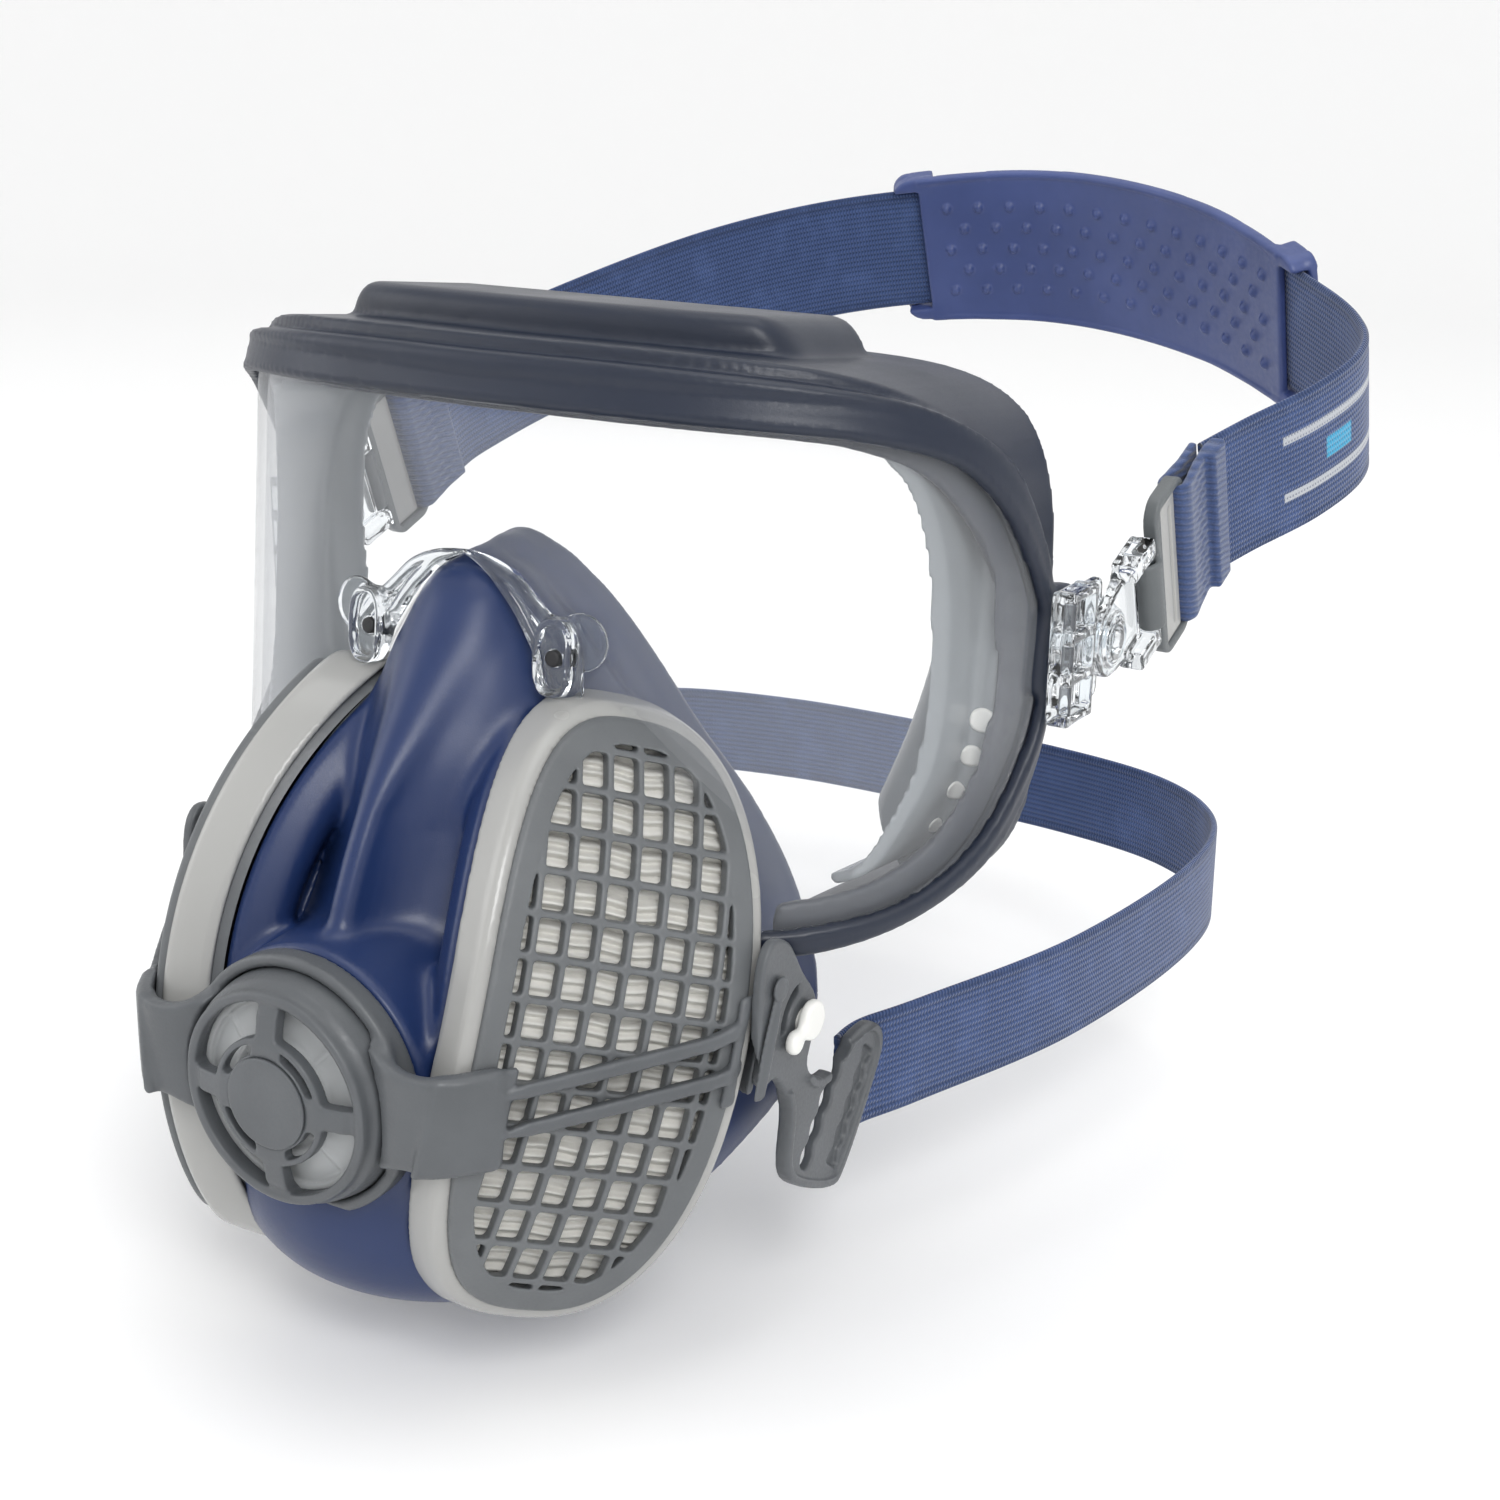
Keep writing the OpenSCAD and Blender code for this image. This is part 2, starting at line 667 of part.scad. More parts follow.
module yoke() {
    half = 11;
    arm = open_curve([[21, -86.5], [27, -88.8], [34, -88.6], [39.5, -85.5], [43.5, -80]], 5);
    rear = open_curve([[66, -52], [72, -46], [77.5, -40], [78, -35], [75.3, -29]], 4);
    color(grey) both() {
        difference() {
            union() {
                translate([0, 0, valve_z + 2 - half]) linear_extrude(2 * half)
                    polygon(band(arm, 0, len(arm) - 1, -2, 1.6));
                translate([0, 0, -56]) linear_extrude(15)
                    polygon(band(rear, 0, len(rear) - 1, -1.3, 1.3));
                valve_bore(26.6, -85, -80.5);
            }
            filter_place(1) filter_room();
            valve_bore(24.65, -100, -70);
            translate([73.95, -60, -90]) cube([2.7, 90, 60]);
        }
        for (t = [-3.3, 3.3]) filter_place(1) rotate([0, -20.7, 0])
            translate([-30, -5, -12.2 + t]) intersection() {
                cube([56, 12, 2.4]);
                translate([30, filter_r + 5, 1.2]) rotate([0, 90, 0]) difference() {
                    cylinder(r = filter_r + 3.6, h = 70, center = true, $fn = 180);
                    cylinder(r = filter_r + 1.4, h = 80, center = true, $fn = 180);
                }
            }
    }
}

module side_plate() {
    outline = [[-35, -35], [-31, -27.5], [-24, -29.5], [-18, -38], [-12, -46], [-13, -54],
        [-15, -60], [-11, -65], [-3, -65.5], [5, -62], [14, -62], [18.5, -67], [16, -74],
        [2, -91.5], [-5, -93.5], [-19, -86.5], [-24, -80], [-23, -67], [-28, -58], [-35, -56]];
    difference() {
        translate([74, 0, 0]) rotate([90, 0, 90]) linear_extrude(2.6)
            polygon(closed_curve(outline, 3));
        translate([70, pin_at[0], pin_at[1]]) rotate([0, 90, 0]) cylinder(r = 2.65, h = 12);
        translate([70, pin_at[0], pin_at[1]]) rotate([0, 90, 0]) rotate([0, 0, 185])
            sector(6.6, 8.3, 80, 12);
        filter_place(1) filter_room();
        for (o = [0, 1], i = [-4:4])
            translate([70, -6.5 + 11.5 * o - i * 2.15, -72 - 6.5 * o - i * 2.75])
                rotate([0, 90, 0]) cylinder(r = 2 + 0.3 * (abs(i) % 2), h = 12);
    }
}

module lock_pin() {
    translate([73.4, pin_at[0], pin_at[1]]) rotate([0, 90, 0]) {
        cylinder(r = 2.6, h = 6);
        translate([0, 0, 3.5]) cylinder(r = 4.2, h = 2.5);
        translate([0, 0, 3.5]) rotate([0, 0, 195]) translate([-2, 0, 0]) cube([4, 7, 2.3]);
        translate([0, 0, 3.5]) rotate([0, 0, 195]) translate([0, 7, 0]) cylinder(r = 2, h = 2.3);
    }
}

module plate_rivet() {
    translate([76.6, -29, -37.6]) rotate([0, 90, 0]) cylinder(r = 2.8, h = 1.4);
}

lens();
goggle_frame();
goggle_skirt();
seal_lining();
lining_dots();
nose_clamp();
nose_pins();
color(clear) clip_base();  // clip_base_left
color(clear) mirror([1, 0, 0]) clip_base();  // clip_base_right
color(clear) clip_link();  // clip_link_left
color(clear) mirror([1, 0, 0]) clip_link();  // clip_link_right
color(grey) pivot_stud();  // pivot_stud_left
color(grey) mirror([1, 0, 0]) pivot_stud();  // pivot_stud_right
color(grey) buckle();  // buckle_left
color(grey) mirror([1, 0, 0]) buckle();  // buckle_right
color(web_blue) strap_end();  // strap_end_left
color(web_blue) mirror([1, 0, 0]) strap_end();  // strap_end_right
upper_strap();
head_pad();
lower_strap();
facepiece();
face_seal_lip();
filter_rim(1);  // filter_rim_left
filter_rim(-1);  // filter_rim_right
filter_grille(1);  // filter_grille_left
filter_grille(-1);  // filter_grille_right
filter_media(1);  // filter_media_left
filter_media(-1);  // filter_media_right
filter_back(1);  // filter_back_left
filter_back(-1);  // filter_back_right
filter_gasket(1);  // filter_gasket_left
filter_gasket(-1);  // filter_gasket_right
port_ring(1);  // port_ring_left
port_ring(-1);  // port_ring_right
inhale_flap(1);  // inhale_flap_left
inhale_flap(-1);  // inhale_flap_right
exhale_seat();
exhale_flap();
exhale_housing();
valve_cover();
cover_badge();
yoke();
color(grey) side_plate();  // side_plate_left
color(grey) mirror([1, 0, 0]) side_plate();  // side_plate_right
color(white) lock_pin();  // lock_pin_left
color(white) mirror([1, 0, 0]) lock_pin();  // lock_pin_right
color(grey) both() plate_rivet();  // plate_rivets
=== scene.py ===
"""Looks of a full face respirator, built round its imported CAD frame.

Shapes are worked out in millimetres in local frames (goggle, filter, valve, head harness, buckle
and neck strap) and placed in the row frame in metres. -Y is the front, +X the wearer's left, +Z up.
Soft and moulded pieces are implicit shapes: a function gives each point's distance to the
surface, and the zero level becomes the mesh, so edges and joins come out rounded.
"""

import math

import bpy
import numpy as np
import openvdb
from mathutils import Matrix, Vector


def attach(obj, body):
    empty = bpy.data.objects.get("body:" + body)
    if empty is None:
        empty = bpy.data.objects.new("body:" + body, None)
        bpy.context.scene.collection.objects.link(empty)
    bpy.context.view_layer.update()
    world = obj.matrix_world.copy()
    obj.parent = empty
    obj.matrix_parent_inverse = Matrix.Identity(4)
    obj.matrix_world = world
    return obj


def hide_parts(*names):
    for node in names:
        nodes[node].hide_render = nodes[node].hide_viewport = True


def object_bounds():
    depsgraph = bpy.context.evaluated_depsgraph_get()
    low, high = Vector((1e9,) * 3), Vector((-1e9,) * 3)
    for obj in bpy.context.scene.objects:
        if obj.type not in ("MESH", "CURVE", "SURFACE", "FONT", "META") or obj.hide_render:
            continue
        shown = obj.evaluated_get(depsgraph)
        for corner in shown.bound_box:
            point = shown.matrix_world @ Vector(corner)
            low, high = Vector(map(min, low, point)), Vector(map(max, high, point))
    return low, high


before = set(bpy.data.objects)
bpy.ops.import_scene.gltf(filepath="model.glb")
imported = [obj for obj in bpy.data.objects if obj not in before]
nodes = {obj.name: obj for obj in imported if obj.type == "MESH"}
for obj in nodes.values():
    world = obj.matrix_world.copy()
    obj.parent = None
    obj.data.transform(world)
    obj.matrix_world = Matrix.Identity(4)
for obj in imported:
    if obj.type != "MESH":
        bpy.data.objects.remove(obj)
cad_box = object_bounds()
MM = 0.001

# ---- sizes in millimetres

# the lens in plan: a wide middle arc, a tight arc each side, then straight back past FRAME_Y
LENS_MID_R, LENS_SIDE_R, LENS_MID_A = 290.0, 74.0, math.radians(6.8)
LENS_C = (LENS_MID_R - LENS_SIDE_R) * math.sin(LENS_MID_A)
FRAME_X = LENS_C + LENS_SIDE_R
FRAME_Y = LENS_MID_R - (LENS_MID_R - LENS_SIDE_R) * math.cos(LENS_MID_A)
LENS_T = 2.2
WALL = 4.0
VALVE_Z = -55.0
VALVE_FACE = -95.0
COLLAR_R, VALVE_BORE_R = 27.5, 21
# a filter: half width, half height, radius of its bowed face, and the power of its oval outline
FILTER_W, FILTER_H, FILTER_R, FILTER_POWER = 30.0, 63.5, 105.0, 2.7
BACK_DEPTH = 12.2
RIM_DEPTH = 10.0
WINDOW_X, WINDOW_Z = 6.6, 8.2
PORT_R = 14.5
STRAP_W, NECK_W, WEB_T = 36.0, 26.0, 1.8


def shift(x, y, z):
    return Matrix.Translation((x, y, z))


def turn(axis, degrees):
    return Matrix.Rotation(math.radians(degrees), 4, axis)


GOGGLE = shift(0, -26, 36.5) @ turn("X", -6.2)
FILTER = shift(56, -57, -41) @ turn("X", -21) @ turn("Z", 53)
HARNESS = shift(0, 59, 19) @ turn("X", 20.5)
NECK = shift(0, 0, -76) @ turn("X", 2.5)
ROW = Matrix.Identity(4)
MIRROR = Matrix.Scale(-1, 4, (1, 0, 0))

# ---- curves


def spline(points, n, closed=False):
    """Catmull-Rom curve through the points, n steps to a span."""
    p = np.array(points, float)
    if closed:
        p = np.vstack([p[-1], p, p[0], p[1]])
    else:
        p = np.vstack([p[0], p, p[-1]])
    t = (np.arange(n) / n)[:, None]
    out = []
    for a, b, c, d in zip(p, p[1:], p[2:], p[3:]):
        out.append(0.5 * (2 * b + (c - a) * t + (2 * a - 5 * b + 4 * c - d) * t**2
                          + (3 * b - a - 3 * c + d) * t**3))
    if not closed:
        out.append(p[-2:-1])
    return np.vstack(out)


def half_outline(points, n=5):
    """A closed outline from its right half, top to bottom."""
    right = spline(points, n)
    return np.vstack([right, right[::-1] * [-1, 1]])


# outlines on the lens surface, by distance round it from the middle, and height
BEZEL_OUT = [(0, 45.5), (40, 45.5), (75, 44), (99, 40), (119, 30), (132, 13), (138, -2),
             (140, -16), (137, -33), (125, -51), (103, -64), (80, -71), (66, -71)]
BEZEL_IN = [(0, 35), (40, 35), (70, 34.5), (84, 33.5), (102, 30), (115.5, 21), (125, 10),
            (133, -2), (135.5, -12), (134, -24), (129, -34), (117, -49), (99, -60), (77, -65),
            (66, -66)]
FLANGE_IN = [(0, 33.5), (40, 33.5), (70, 33), (84, 31.5), (99, 27), (111, 18), (120, 8),
             (127, -2), (130, -12), (129, -23), (124, -33), (113, -46), (96, -56.5), (76, -61),
             (60, -62)]
SKIRT_HALF = [(0, 48.5), (40, 48.5), (68, 47), (84, 41.5), (92.5, 31), (97, 13), (98.7, -10),
              (98.2, -33), (95, -50), (88, -61), (77, -67), (66, -67)]
SKIRT_IN_HALF = [(0, 43), (40, 43), (68, 41.5), (81, 37), (88.5, 28), (92.5, 12), (94, -10),
                 (93.5, -32), (90, -47), (85, -58), (76, -63), (69, -63)]
APERTURE_HALF = [(0, 31), (40, 31), (70, 30), (77, 22), (79, 8), (78, -10), (74, -28),
                 (68, -45), (62, -60), (56, -74)]
# the mask body by height: half width, front, rear
BODY_ROWS = [(-114, 14, -58, -48), (-110, 30, -70, -44), (-104, 42, -79, -38),
             (-96, 52, -84, -28), (-86, 60, -86, -14), (-74, 65, -84, 4), (-60, 66, -82, 11),
             (-46, 64, -79, 12), (-30, 58, -74, 12), (-15, 49, -67, 11), (0, 37, -58, 9),
             (12, 29, -49, 7), (22, 23, -42, 4), (30, 17.5, -36, 1), (36, 12, -31, -2),
             (41, 8, -25, -5), (45, 7, -20, -7)]
# how square the body is in plan, by height: 2 is an ellipse
BODY_SQUARE = [(-60, 2.0), (-30, 1.9), (-10, 1.9), (10, 2.3), (30, 2.8)]

STRAP_RUN = [(-110.3, 54.5), (-109, 68), (-97, 100), (-68, 144), (-30, 172), (20, 184),
             (70, 170), (112, 137), (128, 119), (132, 104), (127, 86), (117, 68), (110.3, 54.5)]
NECK_HALF = [(-72.5, 6), (-73.3, 15), (-80.5, 31), (-98, 76), (-107, 130), (-102, 164), (-80, 185),
             (-42, 194)]
NECK_RUN = NECK_HALF + [(0, 195)] + [(-x, y) for x, y in NECK_HALF[::-1]]

# ---- distances


def join(a, b, k):
    """Union with a fillet of about k."""
    h = np.clip(0.5 + 0.5 * (b - a) / k, 0, 1)
    return b * (1 - h) + a * h - k * h * (1 - h)


def cut(a, b, k=0.4):
    """a and b together, as an intersection, with edges rounded by about k."""
    return -join(-a, -b, k)


def less(a, b, k=0.4):
    """a with b taken away."""
    return cut(a, -b, k)


def slab(v, low, high):
    return np.abs(v - (low + high) / 2) - (high - low) / 2


def inside(outline, u, v):
    """Signed distance in the plane to a closed outline, negative inside."""
    p = np.array(outline, np.float32)
    q = np.roll(p, -1, axis=0)
    best, sign = np.inf, 1.0
    for (ax, ay), (bx, by) in zip(p, q):
        ex, ey = bx - ax, by - ay
        length = ex * ex + ey * ey
        if length < 1e-9:
            continue
        wx, wy = u - ax, v - ay
        t = np.clip((wx * ex + wy * ey) / length, 0, 1)
        d = (wx - ex * t) ** 2 + (wy - ey * t) ** 2
        c1, c2, c3 = v >= ay, v < by, ex * wy > ey * wx
        best = np.minimum(best, d)
        sign = sign * np.where((c1 & c2 & c3) | (~c1 & ~c2 & ~c3), -1.0, 1.0)
    return sign * np.sqrt(best)


def along(path, u, v):
    """Distance in the plane to an open path."""
    best = np.inf
    for (ax, ay), (bx, by) in zip(path, path[1:]):
        ex, ey = bx - ax, by - ay
        t = np.clip(((u - ax) * ex + (v - ay) * ey) / (ex * ex + ey * ey), 0, 1)
        best = np.minimum(best, (u - ax - ex * t) ** 2 + (v - ay - ey * t) ** 2)
    return np.sqrt(best)


def oval(u, v, w, h, m=FILTER_POWER):
    """Distance to a rounded oval of half sizes w and h; m is its power, and 2 is an ellipse."""
    a, b = np.abs(u) / w + 1e-6, np.abs(v) / h + 1e-6
    r = (a**m + b**m) ** (1 / m)
    gx, gy = a ** (m - 1) / w, b ** (m - 1) / h
    return (r - 1) / (r ** (1 - m) * np.sqrt(gx * gx + gy * gy))


def over_lens(x, y):
    """Distance outside the lens surface, in the goggle's frame."""
    ax = np.abs(x)
    mid = np.hypot(ax, LENS_MID_R - y) - LENS_MID_R
    side = np.hypot(ax - LENS_C, FRAME_Y - y) - LENS_SIDE_R
    flat = ax - FRAME_X
    d = np.where(ax < np.tan(LENS_MID_A) * (LENS_MID_R - y), mid, side)
    return np.where(y > FRAME_Y, flat, d)


def filter_depth(y, z):
    """Depth behind the bowed face of a filter."""
    return FILTER_R - np.hypot(FILTER_R - y, z)


def filter_edge(x, z, grow=0.0):
    """Distance to a filter's outline, made wider and taller by grow."""
    return oval(x, z, FILTER_W + grow, FILTER_H + grow)


def filter_room(x, y, z, gap):
    """The space that a filter takes, with a gap round it."""
    return cut(filter_edge(x, z, gap), slab(filter_depth(y, z), -1.4, 13), 0.2)


def to_local(place, x, y, z):
    m = np.array(place.inverted())
    return [m[i, 0] * x + m[i, 1] * y + m[i, 2] * z + m[i, 3] for i in range(3)]


# ---- meshes


def add_object(name, data):
    o = bpy.data.objects.new(name, data)
    bpy.context.scene.collection.objects.link(o)
    return o


def mesh_object(name, points, faces, place=ROW, uv=None):
    """A smooth mesh from points in millimetres in a local frame."""
    m = np.array(place)
    p = (np.asarray(points, float) @ m[:3, :3].T + m[:3, 3]) * MM
    if np.linalg.det(m[:3, :3]) < 0:
        faces = faces[:, ::-1]
        uv = None if uv is None else uv[:, ::-1]
    mesh = bpy.data.meshes.new(name)
    mesh.vertices.add(len(p))
    mesh.vertices.foreach_set("co", p.astype(np.float32).ravel())
    k = faces.shape[1]
    mesh.loops.add(faces.size)
    mesh.loops.foreach_set("vertex_index", faces.astype(np.int32).ravel())
    mesh.polygons.add(len(faces))
    mesh.polygons.foreach_set("loop_start", np.arange(0, faces.size, k, dtype=np.int32))
    mesh.polygons.foreach_set("use_smooth", np.ones(len(faces), bool))
    if uv is not None:
        mesh.uv_layers.new(name="UVMap").data.foreach_set("uv", uv.astype(np.float32).ravel())
    mesh.update(calc_edges=True)
    mesh.validate()
    return add_object(name, mesh)


def coat(o, material):
    o.data.materials.clear()
    o.data.materials.append(material)


def finish_piece(o, material, body, replaces):
    """Give a piece its material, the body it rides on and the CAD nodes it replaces."""
    coat(o, material)
    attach(o, body)
    if replaces:
        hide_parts(*replaces)


def sculpt(name, shape, low, high, step, place=ROW, warp=None):
    """The zero level of a distance function, within a box of points step apart."""
    axes = [np.arange(a, b + step, step, dtype=np.float32) for a, b in zip(low, high)]
    far = 3 * step
    values = np.broadcast_to(shape(*np.ix_(*axes)), [len(a) for a in axes]).astype(np.float32)
    values = np.clip(values, -far, far)
    values[[0, -1]] = values[:, [0, -1]] = values[:, :, [0, -1]] = far
    grid = openvdb.FloatGrid(background=far)
    grid.copyFromArray(values)
    points, quads = grid.convertToQuads(0.0)
    points = points * step + np.array(low, np.float32)
    if warp is not None:
        points = warp(points)
    return mesh_object(name, points, quads, place)


def grid_faces(rows, cols, close_cols=False):
    i = np.arange(rows - 1)[:, None]
    j = np.arange(cols if close_cols else cols - 1)[None, :]
    i2, j2 = i + 1, (j + 1) % cols
    quads = np.stack([i * cols + j, i2 * cols + j, i2 * cols + j2, i * cols + j2], -1)
    return quads.reshape(-1, 4)


def closed_sheet(name, front, rear, rows, cols, place):
    """A closed piece from two grids of points that are joined round their edge."""
    grid, n = grid_faces(rows, cols), rows * cols
    ring = np.concatenate([np.arange(cols), np.arange(1, rows) * cols + cols - 1,
                           (rows - 1) * cols + np.arange(cols - 2, -1, -1),
                           np.arange(rows - 2, 0, -1) * cols])
    after = np.roll(ring, -1)
    faces = np.vstack([grid[:, ::-1], grid + n, np.stack([ring, after, after + n, ring + n], 1)])
    return mesh_object(name, np.vstack([front, rear]), faces, place)


def resample(run, step):
    """A path cut into equal steps, with the run's own length at each point."""
    run = np.array(run, float)
    s = np.concatenate([[0], np.cumsum(np.hypot(*np.diff(run, axis=0).T))])
    at = np.linspace(0, s[-1], max(2, int(s[-1] / step) + 1))
    return np.stack([np.interp(at, s, run[:, k]) for k in range(2)], 1), at


def normals_of(run):
    d = np.gradient(run, axis=0)
    d /= np.hypot(d[:, 0], d[:, 1])[:, None]
    return np.stack([d[:, 1], -d[:, 0]], 1)


# ---- materials


class Paint:
    """A Principled material with short ways to add procedural detail."""

    def __init__(self, name, color, rough):
        self.material = bpy.data.materials.new(name)
        self.material.use_nodes = True
        self.tree = self.material.node_tree
        self.bsdf = self.tree.nodes["Principled BSDF"]
        self.set("Base Color", (*color, 1))
        self.set("Roughness", rough)
        self.normal = None

    def set(self, key, value):
        self.bsdf.inputs[key].default_value = value

    def node(self, kind, **values):
        n = self.tree.nodes.new(kind)
        for k, v in values.items():
            if k.startswith("in_"):
                n.inputs[k[3:].replace("_", " ")].default_value = v
            else:
                setattr(n, k, v)
        return n

    def link(self, a, b):
        self.tree.links.new(a, b)

    def place(self, uv=False):
        return self.node("ShaderNodeTexCoord").outputs["UV" if uv else "Object"]

    def noise(self, scale, detail):
        """Noise whose spots are about 1/scale metres across."""
        n = self.node("ShaderNodeTexNoise", in_Scale=scale, in_Detail=detail, in_Roughness=0.55)
        self.link(self.place(), n.inputs["Vector"])
        return n.outputs["Fac"]

    def ramp(self, value, low, high, a=0.0, b=1.0):
        n = self.node("ShaderNodeMapRange", in_From_Min=low, in_From_Max=high, in_To_Min=a,
                      in_To_Max=b)
        self.link(value, n.inputs["Value"])
        return n.outputs["Result"]

    def maths(self, op, *values):
        n = self.node("ShaderNodeMath", operation=op)
        for socket, v in zip(n.inputs, values):
            if isinstance(v, (int, float)):
                socket.default_value = v
            else:
                self.link(v, socket)
        return n.outputs[0]

    def times(self, a, b):
        return self.maths("MULTIPLY", a, b)

    def wave(self, value, pitch):
        return self.maths("SINE", self.times(value, 2 * math.pi / pitch))

    def tint(self, fac, color):
        """Mix another colour in where fac is high."""
        n = self.node("ShaderNodeMix", data_type="RGBA")
        old = self.bsdf.inputs["Base Color"]
        if old.is_linked:
            self.link(old.links[0].from_socket, n.inputs["A"])
        else:
            n.inputs["A"].default_value = old.default_value
        n.inputs["B"].default_value = (*color, 1)
        self.link(fac, n.inputs["Factor"])
        self.link(n.outputs["Result"], old)

    def roughen(self, fac, low, high):
        self.link(self.ramp(fac, 0, 1, low, high), self.bsdf.inputs["Roughness"])

    def bump(self, height, distance):
        """Raise the surface by height times distance millimetres."""
        n = self.node("ShaderNodeBump", in_Distance=distance * MM, in_Strength=1.0)
        self.link(height, n.inputs["Height"])
        if self.normal is not None:
            self.link(self.normal, n.inputs["Normal"])
        self.normal = n.outputs["Normal"]
        self.link(self.normal, self.bsdf.inputs["Normal"])

    def worn(self, color, amount):
        """A paler tone along raised edges."""
        g = self.node("ShaderNodeNewGeometry")
        self.tint(self.ramp(g.outputs["Pointiness"], 0.51, 0.58, 0, amount), color)


def rubber(name, color, rough, dust, bump=0.05):
    p = Paint(name, color, rough)
    p.set("Specular IOR Level", 0.45)
    big, fine = p.noise(25, 4), p.noise(3200, 2)
    p.tint(p.ramp(big, 0.48, 0.75, 0, 0.35), dust)
    p.tint(p.ramp(fine, 0.62, 0.8, 0, 0.35), dust)
    p.worn(dust, 0.35)
    p.roughen(p.maths("ADD", p.ramp(big, 0.3, 0.7, 0, 0.6), p.ramp(fine, 0.3, 0.7, 0, 0.4)),
              rough - 0.08, rough + 0.12)
    p.bump(fine, bump)
    return p.material


def moulded(name, color, rough, grain=1400, bump=0.03):
    p = Paint(name, color, rough)
    big, fine = p.noise(40, 3), p.noise(grain, 2)
    lift = [min(1, c * 1.35 + 0.01) for c in color]
    p.tint(p.ramp(big, 0.4, 0.7, 0, 0.5), lift)
    p.worn(lift, 0.5)
    p.roughen(p.ramp(fine, 0.3, 0.7), rough - 0.06, rough + 0.08)
    p.bump(fine, bump)
    return p.material


def smooth(name, color, rough):
    """Glossy moulded plastic or soft rubber without grain."""
    p = Paint(name, color, rough)
    big = p.noise(18, 2)
    p.tint(p.ramp(big, 0.4, 0.7, 0, 0.4), [c * 1.15 for c in color])
    p.roughen(p.ramp(big, 0.3, 0.7), rough - 0.03, rough + 0.04)
    return p.material


def clear(name, color, rough, veil, edge, outline=0.0):
    """Clear plastic: see-through face on, milky and glossy where it turns away; outline paints a
    dark reflection in along the parts that turn furthest away.
    """
    p = Paint(name, color, rough)
    p.set("IOR", 1.49)
    glance = p.node("ShaderNodeLayerWeight", in_Blend=0.35)
    alpha = p.ramp(glance.outputs["Facing"], 0.25, 1.0, veil, edge)
    p.link(alpha, p.bsdf.inputs["Alpha"])
    # painted reflection: a dark blue-grey tone where the sheet turns away from the camera, in place
    # of dark surroundings reflected in its edge
    if outline:
        p.tint(p.ramp(glance.outputs["Facing"], 0.62, 0.95, 0, outline), (0.1, 0.13, 0.17))
    return p.material


def glassy(name, color, rough):
    """Thick clear plastic that bends light, so its edges show dark and bright lines."""
    p = Paint(name, color, rough)
    p.set("IOR", 1.46)
    p.set("Transmission Weight", 1.0)
    p.roughen(p.ramp(p.noise(60, 2), 0.3, 0.7), rough, rough + 0.03)
    return p.material


def cloth(name, color):
    p = Paint(name, color, 0.8)
    p.set("Sheen Weight", 0.35)
    p.set("Sheen Roughness", 0.45)
    return p


RIB_PITCH, STITCH_PITCH = 1.5, 0.9


def webbing(name, color, across, printed=()):
    """Knitted elastic: ribs along the strap with painted shade in their hollows and a painted
    highlight on their tops, short stitches across, darker woven edges.
    """
    p = cloth(name, color)
    p.set("Specular IOR Level", 0.25)
    sep = p.node("ShaderNodeSeparateXYZ")
    p.link(p.place(uv=True), sep.inputs[0])
    u, v = sep.outputs["X"], sep.outputs["Y"]
    rib = p.wave(v, RIB_PITCH)
    stitch = p.wave(u, STITCH_PITCH)
    shifted = p.wave(p.maths("ADD", u, p.ramp(rib, -1, 1, 0, STITCH_PITCH / 2)), STITCH_PITCH)
    knit = p.maths("ADD", p.times(rib, 0.55), p.times(shifted, 0.45))
    off_middle = p.maths("ABSOLUTE", p.maths("SUBTRACT", v, across / 2))
    edge = p.ramp(off_middle, across / 2 - 3.2, across / 2 - 2.6)
    dark = [c * 0.35 for c in color]
    pale = [min(1, c * 1.8 + 0.02) for c in color]
    # painted shade in the knit's hollows and painted highlight on its tops, from the same knit that
    # the bump below raises
    p.tint(p.ramp(knit, 0.1, -0.9, 0, 0.75), dark)
    p.tint(p.ramp(knit, 0.4, 1.0, 0, 0.35), pale)
    p.tint(p.times(edge, p.ramp(stitch, -0.2, 0.6, 0.1, 0.5)), dark)
    p.tint(p.ramp(p.noise(120, 3), 0.5, 0.8, 0, 0.3), pale)
    worn = p.ramp(knit, -0.9, -0.3, 0.35, 0.9)
    for u0, u1, v0, v1, ink in printed:
        inside_u = p.times(p.ramp(u, u0, u0 + 0.3), p.ramp(u, u1, u1 - 0.3))
        inside_v = p.times(p.ramp(v, v0, v0 + 0.3), p.ramp(v, v1, v1 - 0.3))
        p.tint(p.times(p.times(inside_u, inside_v), worn), ink)
    p.bump(p.times(knit, 0.5), 0.25)
    p.bump(p.noise(6000, 2), 0.06)
    return p.material


def fabric(name, color):
    """The strap's weave where it is folded and has no even run to follow."""
    p = cloth(name, color)
    wave = p.node("ShaderNodeTexWave", wave_type="BANDS", bands_direction="Z", in_Scale=210,
                  in_Distortion=1.5, in_Detail=1)
    p.link(p.place(), wave.inputs["Vector"])
    # painted shade: darker in the weave's grooves, where the bump below sets the surface low
    p.tint(p.ramp(wave.outputs["Fac"], 0.5, 0.0, 0, 0.5), [c * 0.4 for c in color])
    p.tint(p.ramp(p.noise(2500, 2), 0.5, 0.8, 0, 0.5), [c * 2 for c in color])
    p.bump(wave.outputs["Fac"], 0.25)
    p.bump(p.noise(3500, 2), 0.15)
    return p.material


